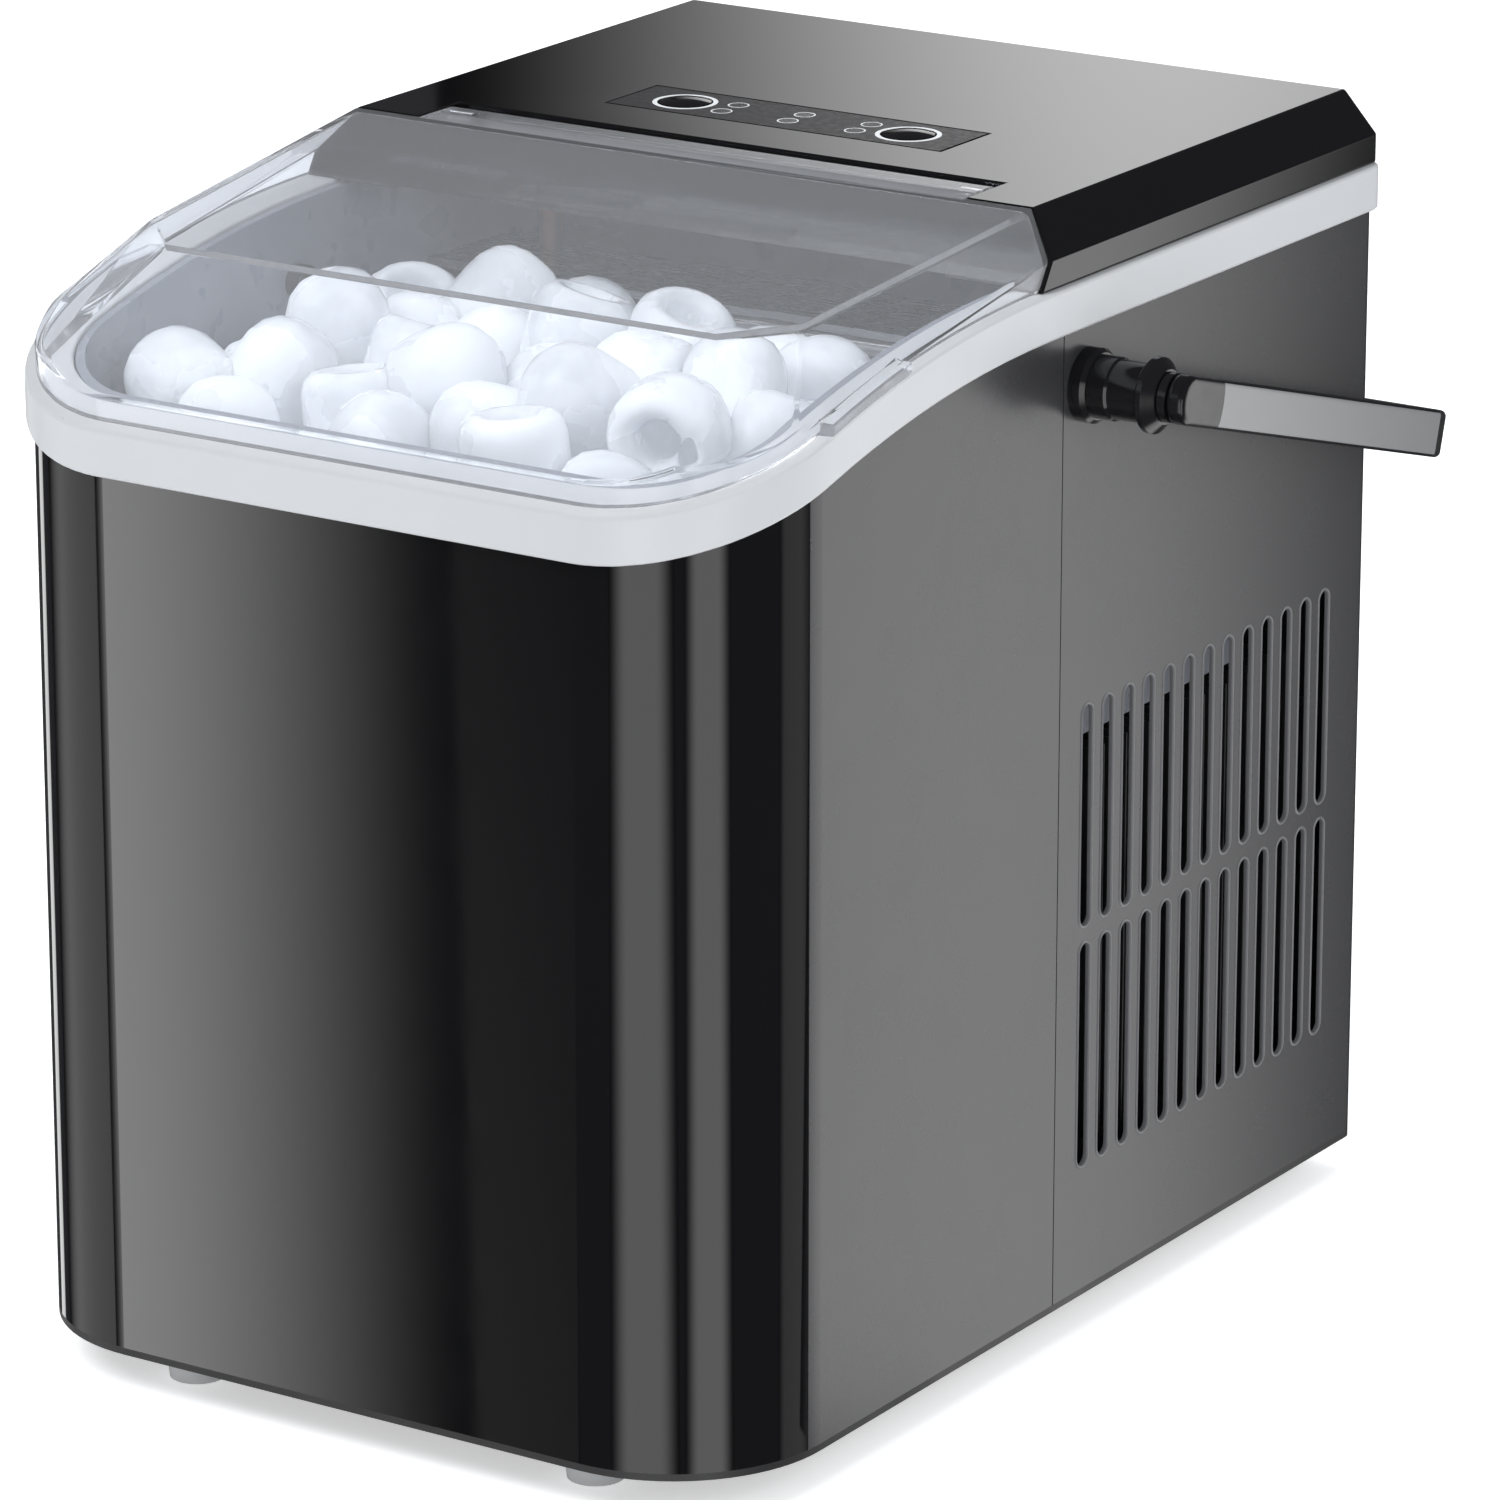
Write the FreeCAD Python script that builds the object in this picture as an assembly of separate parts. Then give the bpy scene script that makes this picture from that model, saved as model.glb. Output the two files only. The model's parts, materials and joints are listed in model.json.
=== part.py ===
import FreeCAD, Part
import math
import os

from FreeCAD import Vector

# Countertop ice maker, millimetres, +Z up, floor at Z = 0, front towards -Y.
# The pieces are built about the middle of the casing and moved at the end, so that the
# origin stands under the middle of the whole machine, its carry handle included.

# ---------------------------------------------------------------- driving dimensions
# Casing
BODY_W = 216.0            # width over the side panels
BODY_D = 301.0            # depth over the front and rear panels
REAR_BLOCK = 150.5        # machine compartment: rear panel to the datum behind the ice chamber
HALF_W = BODY_W / 2
HALF_D = BODY_D / 2
DATUM = HALF_D - REAR_BLOCK          # a deeper casing gets a longer chamber in front of this
TOTAL_H = 288.5           # floor to the top of the cover
CORNER_R = 41.0           # front corners, seen from above
REAR_R = 4.0              # rear corners, seen from above
SHEET = 1.2               # front wrap and rear shell
PANEL_T = 2.0             # moulded side panels
SEAM = 0.4                # gap between neighbouring panels
WRAP_END = 36.0           # length of the wrap along each side, behind the front face
SIDE_SEAM_Y = DATUM - 2.7 # side seam
FOOT_H = 9.6
FOOT_R = 7.0
FOOT_TOP_R = 8.0
FOOT_SIDE = 49.0          # foot centre in from the side
FOOT_END = 19.0           # foot centre in from the front and rear
BASE_T = 1.8              # base pan floor, seen as a thin strip
BASE_RIM = 12.0

# Trim band: level at the rear, then an arc falling to the front
TRIM_OUT = 2.0            # stands proud of the panels
TRIM_W = 12.0             # width of the band, seen from above
TRIM_H = 11.6
SWEEP_R = 376.0
SWEEP_Y = DATUM - 11.6    # where the arc begins

# Top cover
COVER_H = 17.8            # trim to the top face
COVER_T = 2.5
CHAMFER_W = 9.3
CHAMFER_H = 10.3
PART_Y = DATUM - 2.1      # top of the joint between cover and lid
PART_LEAN = 32.0          # degrees that the joint leans forward
NOTCH_W = 160.0
NOTCH_Y = DATUM + 16.0

# Clear lid
LID_IN = 2.6              # lid set in from the edge of the trim
LID_T = 2.4
LID_GAP = 0.4             # lid to trim, cover and notch
LID_BAND = 6.5            # upright rim above the trim
LID_SLOPE = 5.7           # top face, degrees
LID_CREASE = 41.0         # front edge of the lid to the crease
LID_PINCH = 14.0          # side edge of the lid to the crease at the front corners
KNUCKLE_R = 4.2
PIN_R = 2.0
RUN = 0.06                # radial running clearance of pins and shafts
TAB_L = 34.0
TAB_OUT = 3.6
TAB_T = 3.0

# Ice chamber, water reservoir and basket
LINER_T = 2.2
LINER_GAP = 0.5           # liner to the trim band
RES_Z = 58.0              # underside of the reservoir
RES_BACK = DATUM - 4.0    # rear face of the reservoir
BAY_BACK = DATUM + 104.0  # rear face of the ice-making bay
BAY_Z = 150.0             # underside of the bay
FOAM = 7.0
BASKET_CLEAR = 7.0        # basket to the liner walls
BASKET_T = 2.0
BASKET_Z = 112.0
BASKET_TOP = 236.0
BASKET_BACK_TOP = 186.0
BASKET_REAR = RES_BACK - 10.0
LEDGE = 12.0
LIFT = 0.3                # gap under loose and moving pieces

# Ice-making parts
FINGER_R = 4.0
FINGER_PITCH = 27.0
FINGER_ROWS = ((DATUM + 28.0, 5), (DATUM + 50.0, 4))
FINGER_TIP = 206.0
TUBE_Z = 238.0
TUBE_R = 4.0
TRAY_W = 140.0
TRAY_Y0 = DATUM + 13.0
TRAY_Y1 = TRAY_Y0 + 52.0
TRAY_TOP = 224.0
TRAY_DEPTH = 34.0
TRAY_T = 2.0
TRAY_AXIS_Y = TRAY_Y1 + 3.0
SHAFT_R = 3.0
MOTOR_L = 15.0

# Cold circuit and fan
COMP_R = 46.0
COMP_X = -46.0
COMP_Y = HALF_D - 56.5
COMP_TOP = 132.0
COMP_LIFT = 10.0          # rubber mounts
FAN_Y = HALF_D - 76.5
FAN_Z = 94.0
FAN_R = 42.0
FAN_TIP_GAP = 3.0
BLADES = 7
COND_X0 = 78.0
COND_X1 = 98.0
COND_HALF = 55.0
FIN_PITCH = 5.5
FIN_T = 0.6

# Vents
VENT_COLS = 13
VENT_PITCH = 9.8
VENT_Y0 = DATUM + 10.6
VENT_W = 5.3
VENT_ROWS = ((44.0, 102.2), (106.7, 163.4))

# Controls
LABEL_W = 98.4
LABEL_D = 23.2
LABEL_Y = DATUM + 47.1
LABEL_T = 0.5
BUTTON_X = 33.0
BUTTON_R = 6.6
BUTTON_GAP = 0.35
BUTTON_RISE = 1.0
BUTTON_TRAVEL = 1.2
LAMP_PITCH = 19.7
LAMP_ROWS = (LABEL_Y - 3.7, LABEL_Y + 4.1)
LAMP_R = 2.3

# Carry handle
PIVOT_Y = DATUM + 8.2
PIVOT_DROP = 44.2         # below the top of the cover
HANDLE_ANGLE = 16.4       # degrees below level, stowed
ARM_REACH = 161.0         # pivot to the outer face of the grip
ARM_H = 12.2
ARM_T = 5.2
ARM_OUT = 29.7            # outer face beyond the side panel, at the pivot
TIP_OUT = 17.5            # the same at the grip
GRIP_T = 6.0
GRIP_R = 9.0
BOSS_DISC_R = 9.2
BOSS_DISC_T = 4.2
BOSS_R = 7.8
BOSS_L = 18.0
RING_R = 9.3
RING_T = 2.0
RING_CONE = 2.4
HUB_R = 6.1
SPINDLE_R = 3.5

# Services
DRAIN_Y = DATUM - 60.0 * (DATUM + HALF_D) / REAR_BLOCK
DRAIN_R = 5.5
DRAIN_WALL = 2.2
PLUG_R = 9.0
PLUG_T = 2.4
GLAND_R = 7.0
GLAND_BORE = 3.6
SCREW_R = 1.5
SCREW_HEAD = 3.2

# ---------------------------------------------------------------- worked-out places
BASE_Z = FOOT_H + BASE_T
TRIM_TOP = TOTAL_H - COVER_H
TRIM_BOT = TRIM_TOP - TRIM_H
WRAP_Y = -HALF_D + WRAP_END
LINER_HALF = HALF_W + TRIM_OUT - TRIM_W - LINER_GAP
LINER_FRONT = -HALF_D - TRIM_OUT + TRIM_W + LINER_GAP
LINER_R = CORNER_R + TRIM_OUT - TRIM_W - LINER_GAP
LID_HALF = HALF_W + TRIM_OUT - LID_IN
LID_FRONT = -HALF_D - TRIM_OUT + LID_IN
LID_R = CORNER_R + TRIM_OUT - LID_IN
HINGE_Y = NOTCH_Y - 1.5 - KNUCKLE_R
HINGE_Z = TOTAL_H - KNUCKLE_R
PIVOT_Z = TOTAL_H - PIVOT_DROP
AXLE_END = ARM_OUT - 1.0
FAR = 400.0               # longer than the machine, for cutting tools

PARTS = {}


# ---------------------------------------------------------------- small helpers
def save(name, shape):
    """Keeps a finished piece under its name."""
    PARTS[name] = shape


def origin_shift():
    """Move along Y that puts the origin midway between the trim's front and the grip's back."""
    rear = PARTS["handle_grip"].BoundBox.YMax
    return -0.5 * (rear - HALF_D - TRIM_OUT)


def box(x0, x1, y0, y1, z0, z1):
    """A box between two corners."""
    return Part.makeBox(x1 - x0, y1 - y0, z1 - z0, Vector(x0, y0, z0))


def rod(radius, x, y, z, length, axis):
    """A cylinder from a point, along a unit axis."""
    return Part.makeCylinder(radius, length, Vector(x, y, z), Vector(*axis))


def joined(*shapes):
    """One solid from several that meet."""
    result = shapes[0]
    for shape in shapes[1:]:
        result = result.fuse(shape)
    return result.removeSplitter()


def group(shapes):
    """Separate solids under one name."""
    return Part.makeCompound(shapes)


def prism(points, direction):
    """A closed polygon pushed along a direction."""
    wire = Part.makePolygon([Vector(*p) for p in points] + [Vector(*points[0])])
    return Part.Face(wire).extrude(Vector(*direction))


def outline(half_w, front, rear, r_front, r_rear, z0, z1):
    """An upright block, rounded at its four corners seen from above."""
    block = box(-half_w, half_w, front, rear, z0, z1)
    corners = {False: r_front, True: r_rear}
    for is_rear, radius in corners.items():
        if radius <= 0:
            continue
        edges = [e for e in block.Edges if upright(e) and (e.CenterOfMass.y > (front + rear) / 2) == is_rear
                 and abs(abs(e.CenterOfMass.x) - half_w) < 0.01]
        block = block.makeFillet(radius, edges)
    return block


def upright(edge):
    """True for a straight edge that runs along Z."""
    if len(edge.Vertexes) != 2:
        return False
    a, b = edge.Vertexes[0].Point, edge.Vertexes[1].Point
    return abs(a.x - b.x) < 1e-6 and abs(a.y - b.y) < 1e-6


def under_sweep(level):
    """Everything below the trim's side curve, with its level stretch at the given height."""
    reach = HALF_D + 30.0
    end_angle = math.asin((reach + SWEEP_Y) / SWEEP_R)
    mid_angle = end_angle / 2
    centre = level - SWEEP_R

    def on_arc(angle):
        return Vector(-FAR, SWEEP_Y - SWEEP_R * math.sin(angle), centre + SWEEP_R * math.cos(angle))

    start = Vector(-FAR, SWEEP_Y, level)
    end = on_arc(end_angle)
    rear = Vector(-FAR, FAR, level)
    low_rear = Vector(-FAR, FAR, -FAR)
    low_front = Vector(-FAR, end.y, -FAR)
    edges = [
        Part.LineSegment(rear, start).toShape(),
        Part.Arc(start, on_arc(mid_angle), end).toShape(),
        Part.LineSegment(end, low_front).toShape(),
        Part.LineSegment(low_front, low_rear).toShape(),
        Part.LineSegment(low_rear, rear).toShape(),
    ]
    return Part.Face(Part.Wire(edges)).extrude(Vector(2 * FAR, 0, 0))


def sweep_z(level, y):
    """Height of the side curve at a depth."""
    run = max(0.0, SWEEP_Y - y)
    return level - SWEEP_R + math.sqrt(SWEEP_R ** 2 - run ** 2)


def pipe(points, radius, bend):
    """A tube of straight runs joined by tangent arcs."""
    spots = [Vector(*p) for p in points]
    edges = []
    last = spots[0]
    for before, corner, after in zip(spots, spots[1:], spots[2:]):
        back = (before - corner).normalize()
        ahead = (after - corner).normalize()
        turn = math.pi - back.getAngle(ahead)
        trim = bend * math.tan(turn / 2)
        start = corner + back * trim
        end = corner + ahead * trim
        inward = (back + ahead).normalize()
        middle = corner + inward * (bend / math.cos(turn / 2) - bend)
        edges.append(Part.LineSegment(last, start).toShape())
        edges.append(Part.Arc(start, middle, end).toShape())
        last = end
    edges.append(Part.LineSegment(last, spots[-1]).toShape())
    path = Part.Wire(edges)
    direction = (spots[1] - spots[0]).normalize()
    section = Part.Wire(Part.makeCircle(radius, spots[0], direction))
    return path.makePipeShell([section], True, True)


# ---------------------------------------------------------------- casing
def panel_band(thickness):
    """The upright band that all the panels are cut from."""
    outer = outline(HALF_W, -HALF_D, HALF_D, CORNER_R, REAR_R, BASE_Z, TRIM_BOT)
    inner = outline(HALF_W - thickness, thickness - HALF_D, HALF_D - thickness,
                    CORNER_R - thickness, max(REAR_R - thickness, 0.5), BASE_Z - 1, TRIM_BOT + 1)
    return outer.cut(inner).common(under_sweep(TRIM_BOT))


def make_front_wrap():
    """Gloss front panel, bent round both front corners."""
    return panel_band(SHEET).common(box(-FAR, FAR, -FAR, WRAP_Y, 0, FAR))


def make_side_panel(side):
    """Moulded panel between the wrap and the side seam."""
    band = panel_band(PANEL_T)
    strip = box(0, FAR, WRAP_Y + SEAM, SIDE_SEAM_Y - SEAM / 2, 0, FAR)
    panel = band.common(strip)
    panel = panel if side > 0 else panel.mirror(Vector(0, 0, 0), Vector(1, 0, 0))
    if side < 0:
        panel = panel.cut(rod(DRAIN_R + DRAIN_WALL + 0.3, -FAR, DRAIN_Y, drain_z(), FAR, (1, 0, 0)))
    return panel


def vent_slots(side):
    """Cutting tool for one side's two rows of round-ended slots."""
    slots = []
    for column in range(VENT_COLS):
        y = VENT_Y0 + column * VENT_PITCH
        for low, high in VENT_ROWS:
            radius = VENT_W / 2
            x = side * (HALF_W - 5)
            length = 10 * side
            x0, x1 = sorted((x, x + length))
            body = box(x0, x1, y - radius, y + radius, low + radius, high - radius)
            ends = [rod(radius, x0, y, z, x1 - x0, (1, 0, 0)) for z in (low + radius, high - radius)]
            slots.append(body.multiFuse(ends))
    return group(slots)


def rear_screw_places():
    """Screws of the rear panel, as X and Z."""
    across = HALF_W - 12
    return [(x, z) for x in (-across, 0, across) for z in (BASE_Z + 6, TRIM_BOT - 8)]


def gland_place():
    """Middle of the cord inlet, as X and Z."""
    return HALF_W - 34, BASE_Z + 22


def make_rear_shell():
    """Rear and rear-side casing in one bent sheet, with vents on both sides."""
    shell = panel_band(SHEET).common(box(-FAR, FAR, SIDE_SEAM_Y + SEAM / 2, FAR, 0, FAR))
    shell = shell.cut(vent_slots(1)).cut(vent_slots(-1))
    for x, z in rear_screw_places():
        shell = shell.cut(rod(SCREW_R + 0.2, x, HALF_D - 5, z, 10, (0, 1, 0)))
    x, z = gland_place()
    shell = shell.cut(rod(GLAND_R, x, HALF_D - 5, z, 10, (0, 1, 0)))
    spindle = rod(SPINDLE_R + 1.0, -FAR, PIVOT_Y, PIVOT_Z, 2 * FAR, (1, 0, 0))
    return shell.cut(spindle)


def make_base_pan():
    """Base with a low rim that the panels slip over."""
    floor = outline(HALF_W, -HALF_D, HALF_D, CORNER_R, REAR_R, FOOT_H, BASE_Z)
    out = PANEL_T + 0.3
    rim = outline(HALF_W - out, out - HALF_D, HALF_D - out, CORNER_R - out, 2.0, BASE_Z, BASE_Z + BASE_RIM)
    well = outline(HALF_W - out - 1.5, out + 1.5 - HALF_D, HALF_D - out - 1.5, CORNER_R - out - 1.5,
                   1.0, BASE_Z, BASE_Z + BASE_RIM + 1)
    pan = joined(floor, rim.cut(well))
    for x, z in rear_screw_places():
        if z < BASE_Z + BASE_RIM:
            pan = pan.cut(rod(SCREW_R, x, HALF_D - 12, z, 12, (0, 1, 0)))
    return pan


def make_foot(x_side, y_side):
    """Tapered rubber foot."""
    x = x_side * (HALF_W - FOOT_SIDE)
    y = y_side * (HALF_D - FOOT_END)
    foot = Part.makeCone(FOOT_R, FOOT_TOP_R, FOOT_H, Vector(x, y, 0), Vector(0, 0, 1))
    return foot.cut(rod(FOOT_R - 3.5, x, y, -1, 3.0, (0, 0, 1)))


def make_trim_ring():
    """Pale band between the panels below and the lid and cover above."""
    outer = outline(HALF_W + TRIM_OUT, -HALF_D - TRIM_OUT, HALF_D + TRIM_OUT, CORNER_R + TRIM_OUT,
                    REAR_R + TRIM_OUT, 0, TRIM_TOP)
    inset = TRIM_W - TRIM_OUT
    inner = outline(HALF_W - inset, inset - HALF_D, HALF_D - inset, CORNER_R - inset, 2.0, -1, FAR)
    band = outer.cut(inner).common(under_sweep(TRIM_TOP)).cut(under_sweep(TRIM_BOT))
    return band


# ---------------------------------------------------------------- top cover and controls
def cover_front(z):
    """Depth of the joint between cover and lid at a height."""
    return PART_Y - (TOTAL_H - z) * math.tan(math.radians(PART_LEAN))


def cover_block(inset):
    """The cover's outside, or its inside when given a wall."""
    half = HALF_W - inset
    rear = HALF_D - inset
    low = TRIM_TOP - (5.0 if inset else 0.0)
    top = TOTAL_H - inset
    flat = HALF_W - CHAMFER_W - inset * 0.45
    shoulder = TOTAL_H - CHAMFER_H - inset * 0.45
    section = prism([(-half, -FAR, low), (half, -FAR, low), (half, -FAR, shoulder), (flat, -FAR, top),
                     (-flat, -FAR, top), (-half, -FAR, shoulder)], (0, 2 * FAR, 0))
    back = inset / math.cos(math.radians(PART_LEAN))
    side = prism([(-FAR, cover_front(low) + back, low), (-FAR, rear, low), (-FAR, rear, top),
                  (-FAR, cover_front(top) + back, top)], (2 * FAR, 0, 0))
    block = section.common(side)
    notch = box(-NOTCH_W / 2 - inset, NOTCH_W / 2 + inset, -FAR, NOTCH_Y + inset, -FAR, FAR)
    return block.cut(notch)


def lamp_places():
    """Centres of the indicator lamps, as X and Y."""
    return [(column * LAMP_PITCH, y) for column in (-1, 0, 1) for y in LAMP_ROWS]


def make_top_cover():
    """Hollow cover with a notch for the lid's tongue and openings for the controls."""
    cover = cover_block(0.0).cut(cover_block(COVER_T))
    half_w, half_d = LABEL_W / 2, LABEL_D / 2
    recess = box(-half_w, half_w, LABEL_Y - half_d, LABEL_Y + half_d, TOTAL_H - LABEL_T, TOTAL_H + 1)
    cover = cover.cut(recess)
    for side in (-1, 1):
        cover = cover.cut(rod(BUTTON_R + BUTTON_GAP, side * BUTTON_X, LABEL_Y, TOTAL_H - 20, 40, (0, 0, 1)))
    for x, y in lamp_places():
        cover = cover.cut(rod(LAMP_R, x, y, TOTAL_H - 20, 40, (0, 0, 1)))
    pins = rod(PIN_R + RUN, -NOTCH_W / 2 - COVER_T, HINGE_Y, HINGE_Z, NOTCH_W + 2 * COVER_T, (1, 0, 0))
    return cover.cut(pins)


def make_label():
    """Thin control overlay let into the cover."""
    half_w, half_d = LABEL_W / 2, LABEL_D / 2
    label = box(-half_w, half_w, LABEL_Y - half_d, LABEL_Y + half_d, TOTAL_H - LABEL_T, TOTAL_H)
    for side in (-1, 1):
        label = label.cut(rod(BUTTON_R + BUTTON_GAP, side * BUTTON_X, LABEL_Y, TOTAL_H - 5, 10, (0, 0, 1)))
    for x, y in lamp_places():
        label = label.cut(rod(LAMP_R, x, y, TOTAL_H - 5, 10, (0, 0, 1)))
    return label


PLATE_Z = TOTAL_H - COVER_T          # underside of the cover's top plate
FLANGE_T = 1.4
STEM_L = 4.0
STEM_Z = PLATE_Z - LIFT - FLANGE_T - STEM_L
SWITCH_TOP = STEM_Z - BUTTON_TRAVEL - LIFT
SWITCH_H = 3.2
BOARD_TOP = SWITCH_TOP - SWITCH_H
BOARD_T = 1.6


def make_button(side):
    """Domed push button with a retaining flange and a stem above its switch."""
    x = side * BUTTON_X
    flange_z = STEM_Z + STEM_L
    stem = rod(2.0, x, LABEL_Y, STEM_Z, STEM_L + 1, (0, 0, 1))
    flange = rod(BUTTON_R + 1.4, x, LABEL_Y, flange_z, FLANGE_T, (0, 0, 1))
    rim = TOTAL_H + 0.1
    cap = rod(BUTTON_R, x, LABEL_Y, flange_z, rim - flange_z, (0, 0, 1))
    dome_r = (BUTTON_R ** 2 + BUTTON_RISE ** 2) / (2 * BUTTON_RISE)
    ball = Part.makeSphere(dome_r, Vector(x, LABEL_Y, rim + BUTTON_RISE - dome_r))
    dome = ball.common(rod(BUTTON_R, x, LABEL_Y, rim, BUTTON_RISE + 1, (0, 0, 1)))
    return joined(stem, flange, cap, dome)


def make_switches():
    """The two small switches on the control board."""
    bodies = []
    for side in (-1, 1):
        x = side * BUTTON_X
        body = box(x - 3, x + 3, LABEL_Y - 3, LABEL_Y + 3, BOARD_TOP, SWITCH_TOP - 0.8)
        bodies.append(joined(body, rod(1.6, x, LABEL_Y, SWITCH_TOP - 1.0, 1.0, (0, 0, 1))))
    return group(bodies)


def make_board():
    """Control board under the cover, on four posts from the board itself."""
    half_w, half_d = LABEL_W / 2 + 2, LABEL_D / 2 + 2
    board = box(-half_w, half_w, LABEL_Y - half_d, LABEL_Y + half_d, BOARD_TOP - BOARD_T, BOARD_TOP)
    posts = [rod(2.2, x * (half_w - 3), LABEL_Y + y * (half_d - 2.6), BOARD_TOP, PLATE_Z - BOARD_TOP, (0, 0, 1))
             for x in (-1, 1) for y in (-1, 1)]
    return joined(board, *posts)


def make_light_pipes():
    """Six clear lamp pipes, flush with the label."""
    return group([rod(LAMP_R, x, y, BOARD_TOP + 1, TOTAL_H - BOARD_TOP - 1, (0, 0, 1)) for x, y in lamp_places()])


# ---------------------------------------------------------------- lid
def half_space(point, normal):
    """A large block on the side of a plane that its normal points to."""
    block = Part.makeBox(2 * FAR, 2 * FAR, FAR, Vector(-FAR, -FAR, 0))
    turn = FreeCAD.Rotation(Vector(0, 0, 1), Vector(*normal))
    block.Placement = FreeCAD.Placement(Vector(*point), turn)
    return block


def plane_through(a, b, c, outward):
    """Unit normal of the plane through three points, pointing the given way."""
    a, b, c = Vector(*a), Vector(*b), Vector(*c)
    normal = (b - a).cross(c - a).normalize()
    if normal.dot(Vector(*outward)) < 0:
        normal = normal * -1
    return normal


def lid_planes():
    """Outer planes of the lid above its rim: a point on each and its outward normal."""
    slope = math.tan(math.radians(LID_SLOPE))
    crease_y = LID_FRONT + LID_CREASE
    crease_z = TOTAL_H - (PART_Y - crease_y) * slope
    rim_z = sweep_z(TRIM_TOP, LID_FRONT) + LID_GAP + LID_BAND
    flat = HALF_W - CHAMFER_W
    shoulder = TOTAL_H - CHAMFER_H
    front_x = LID_HALF - LID_PINCH
    planes = [((0, PART_Y, TOTAL_H), Vector(0, -math.sin(math.radians(LID_SLOPE)),
                                            math.cos(math.radians(LID_SLOPE))))]
    front = plane_through((0, crease_y, crease_z), (10, crease_y, crease_z), (0, LID_FRONT, rim_z), (0, -1, 1))
    planes.append(((0, crease_y, crease_z), front))
    corner_y = crease_y + LID_PINCH
    corner_z = TOTAL_H - (PART_Y - corner_y) * slope
    cut_in = LID_R * (1 - math.sqrt(0.5))
    for side in (-1, 1):
        rear_point = (side * flat, PART_Y, TOTAL_H)
        front_point = (side * front_x, corner_y, corner_z)
        low_point = (side * LID_HALF, cover_front(shoulder), shoulder)
        planes.append((rear_point, plane_through(rear_point, front_point, low_point, (side, 0, 1))))
        bow_point = (side * (front_x - LID_PINCH), crease_y, crease_z)
        rim_y = LID_FRONT + cut_in
        corner_low = (side * (LID_HALF - cut_in), rim_y, sweep_z(TRIM_TOP, rim_y) + LID_GAP + LID_BAND)
        planes.append((front_point, plane_through(front_point, bow_point, corner_low, (side, -1, 1))))
    return planes


def lid_block(wall):
    """The lid's outside, or its inside when given a wall."""
    block = outline(LID_HALF - wall, LID_FRONT + wall, PART_Y + 30, LID_R - wall, 0, 100, TOTAL_H + 1)
    for point, normal in lid_planes():
        spot = Vector(*point) - normal * wall
        block = block.cut(half_space(tuple(spot), tuple(normal)))
    if not wall:
        block = block.cut(under_sweep(TRIM_TOP + LID_GAP))
    joint_y = cover_front(0) - LID_GAP
    front_y = cover_front(TOTAL_H + 10) - LID_GAP
    behind = prism([(-FAR, joint_y, 0), (-FAR, FAR, 0), (-FAR, FAR, TOTAL_H + 10),
                    (-FAR, front_y, TOTAL_H + 10)], (2 * FAR, 0, 0))
    return block.cut(behind)


def make_lid():
    """Clear lid with its hinge tongue and two finger tabs."""
    shell = lid_block(0.0).cut(lid_block(LID_T))
    half = NOTCH_W / 2 - LID_GAP
    tongue = box(-half, half, PART_Y - 8, HINGE_Y, TOTAL_H - LID_T, TOTAL_H)
    slope_cut = half_space((0, PART_Y, TOTAL_H), tuple(lid_planes()[0][1]))
    tongue = tongue.cut(slope_cut.common(box(-FAR, FAR, -FAR, PART_Y, 0, FAR)))
    knuckle = rod(KNUCKLE_R, -half, HINGE_Y, HINGE_Z, 2 * half, (1, 0, 0))
    bored = joined(shell, tongue, knuckle)
    for side in (-1, 1):
        bored = bored.cut(rod(PIN_R, side * half - (8 if side > 0 else 0), HINGE_Y, HINGE_Z, 8, (1, 0, 0)))
    return joined(bored, *[lid_tab(side) for side in (-1, 1)])


def lid_tab(side):
    """Finger tab that follows the trim's curve."""
    y1 = LID_FRONT + LID_R + TAB_L
    y0 = y1 - TAB_L
    x0, x1 = sorted((side * (LID_HALF - 1.0), side * (LID_HALF + TAB_OUT)))
    tab = box(x0, x1, y0, y1, 100, TOTAL_H)
    low = under_sweep(TRIM_TOP + LID_GAP)
    high = under_sweep(TRIM_TOP + LID_GAP + TAB_T)
    return tab.common(high).cut(low)


def make_lid_pin(side):
    """Hinge pin between the lid's knuckle and the cover."""
    inner = NOTCH_W / 2 - LID_GAP - 8
    length = 8 + LID_GAP + COVER_T - 0.3
    x = inner if side > 0 else -inner - length
    return rod(PIN_R, x, HINGE_Y, HINGE_Z, length, (1, 0, 0))


# ---------------------------------------------------------------- chamber and basket
def drain_z():
    """Height of the drain spout's axis."""
    return RES_Z + LINER_T + DRAIN_R


def make_liner():
    """Reservoir in front and ice-making bay behind, in one moulding."""
    top = under_sweep(TRIM_TOP - 1.0)
    tub = outline(LINER_HALF, LINER_FRONT, RES_BACK, LINER_R, 3.0, RES_Z, TRIM_TOP)
    bay = box(-LINER_HALF, LINER_HALF, RES_BACK - 4, BAY_BACK, BAY_Z, TRIM_TOP)
    t = LINER_T
    hole = outline(LINER_HALF - t, LINER_FRONT + t, RES_BACK - t, LINER_R - t, 1.0, RES_Z + t, FAR)
    bay_hole = box(t - LINER_HALF, LINER_HALF - t, RES_BACK - 8, BAY_BACK - t, BAY_Z + t, FAR)
    liner = joined(tub, bay).cut(hole).cut(bay_hole).common(top)
    spout_l = HALF_W - LINER_HALF
    spout = rod(DRAIN_R + DRAIN_WALL, -LINER_HALF - spout_l + 0.5, DRAIN_Y, drain_z(), spout_l, (1, 0, 0))
    liner = joined(liner, spout)
    liner = liner.cut(rod(DRAIN_R, -FAR, DRAIN_Y, drain_z(), FAR - LINER_HALF + t + 1, (1, 0, 0)))
    return liner.cut(rod(HOSE_R + 0.2, -FAR, HOSE_Y, HOSE_Z, FAR - LINER_HALF + 20, (1, 0, 0)))


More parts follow.
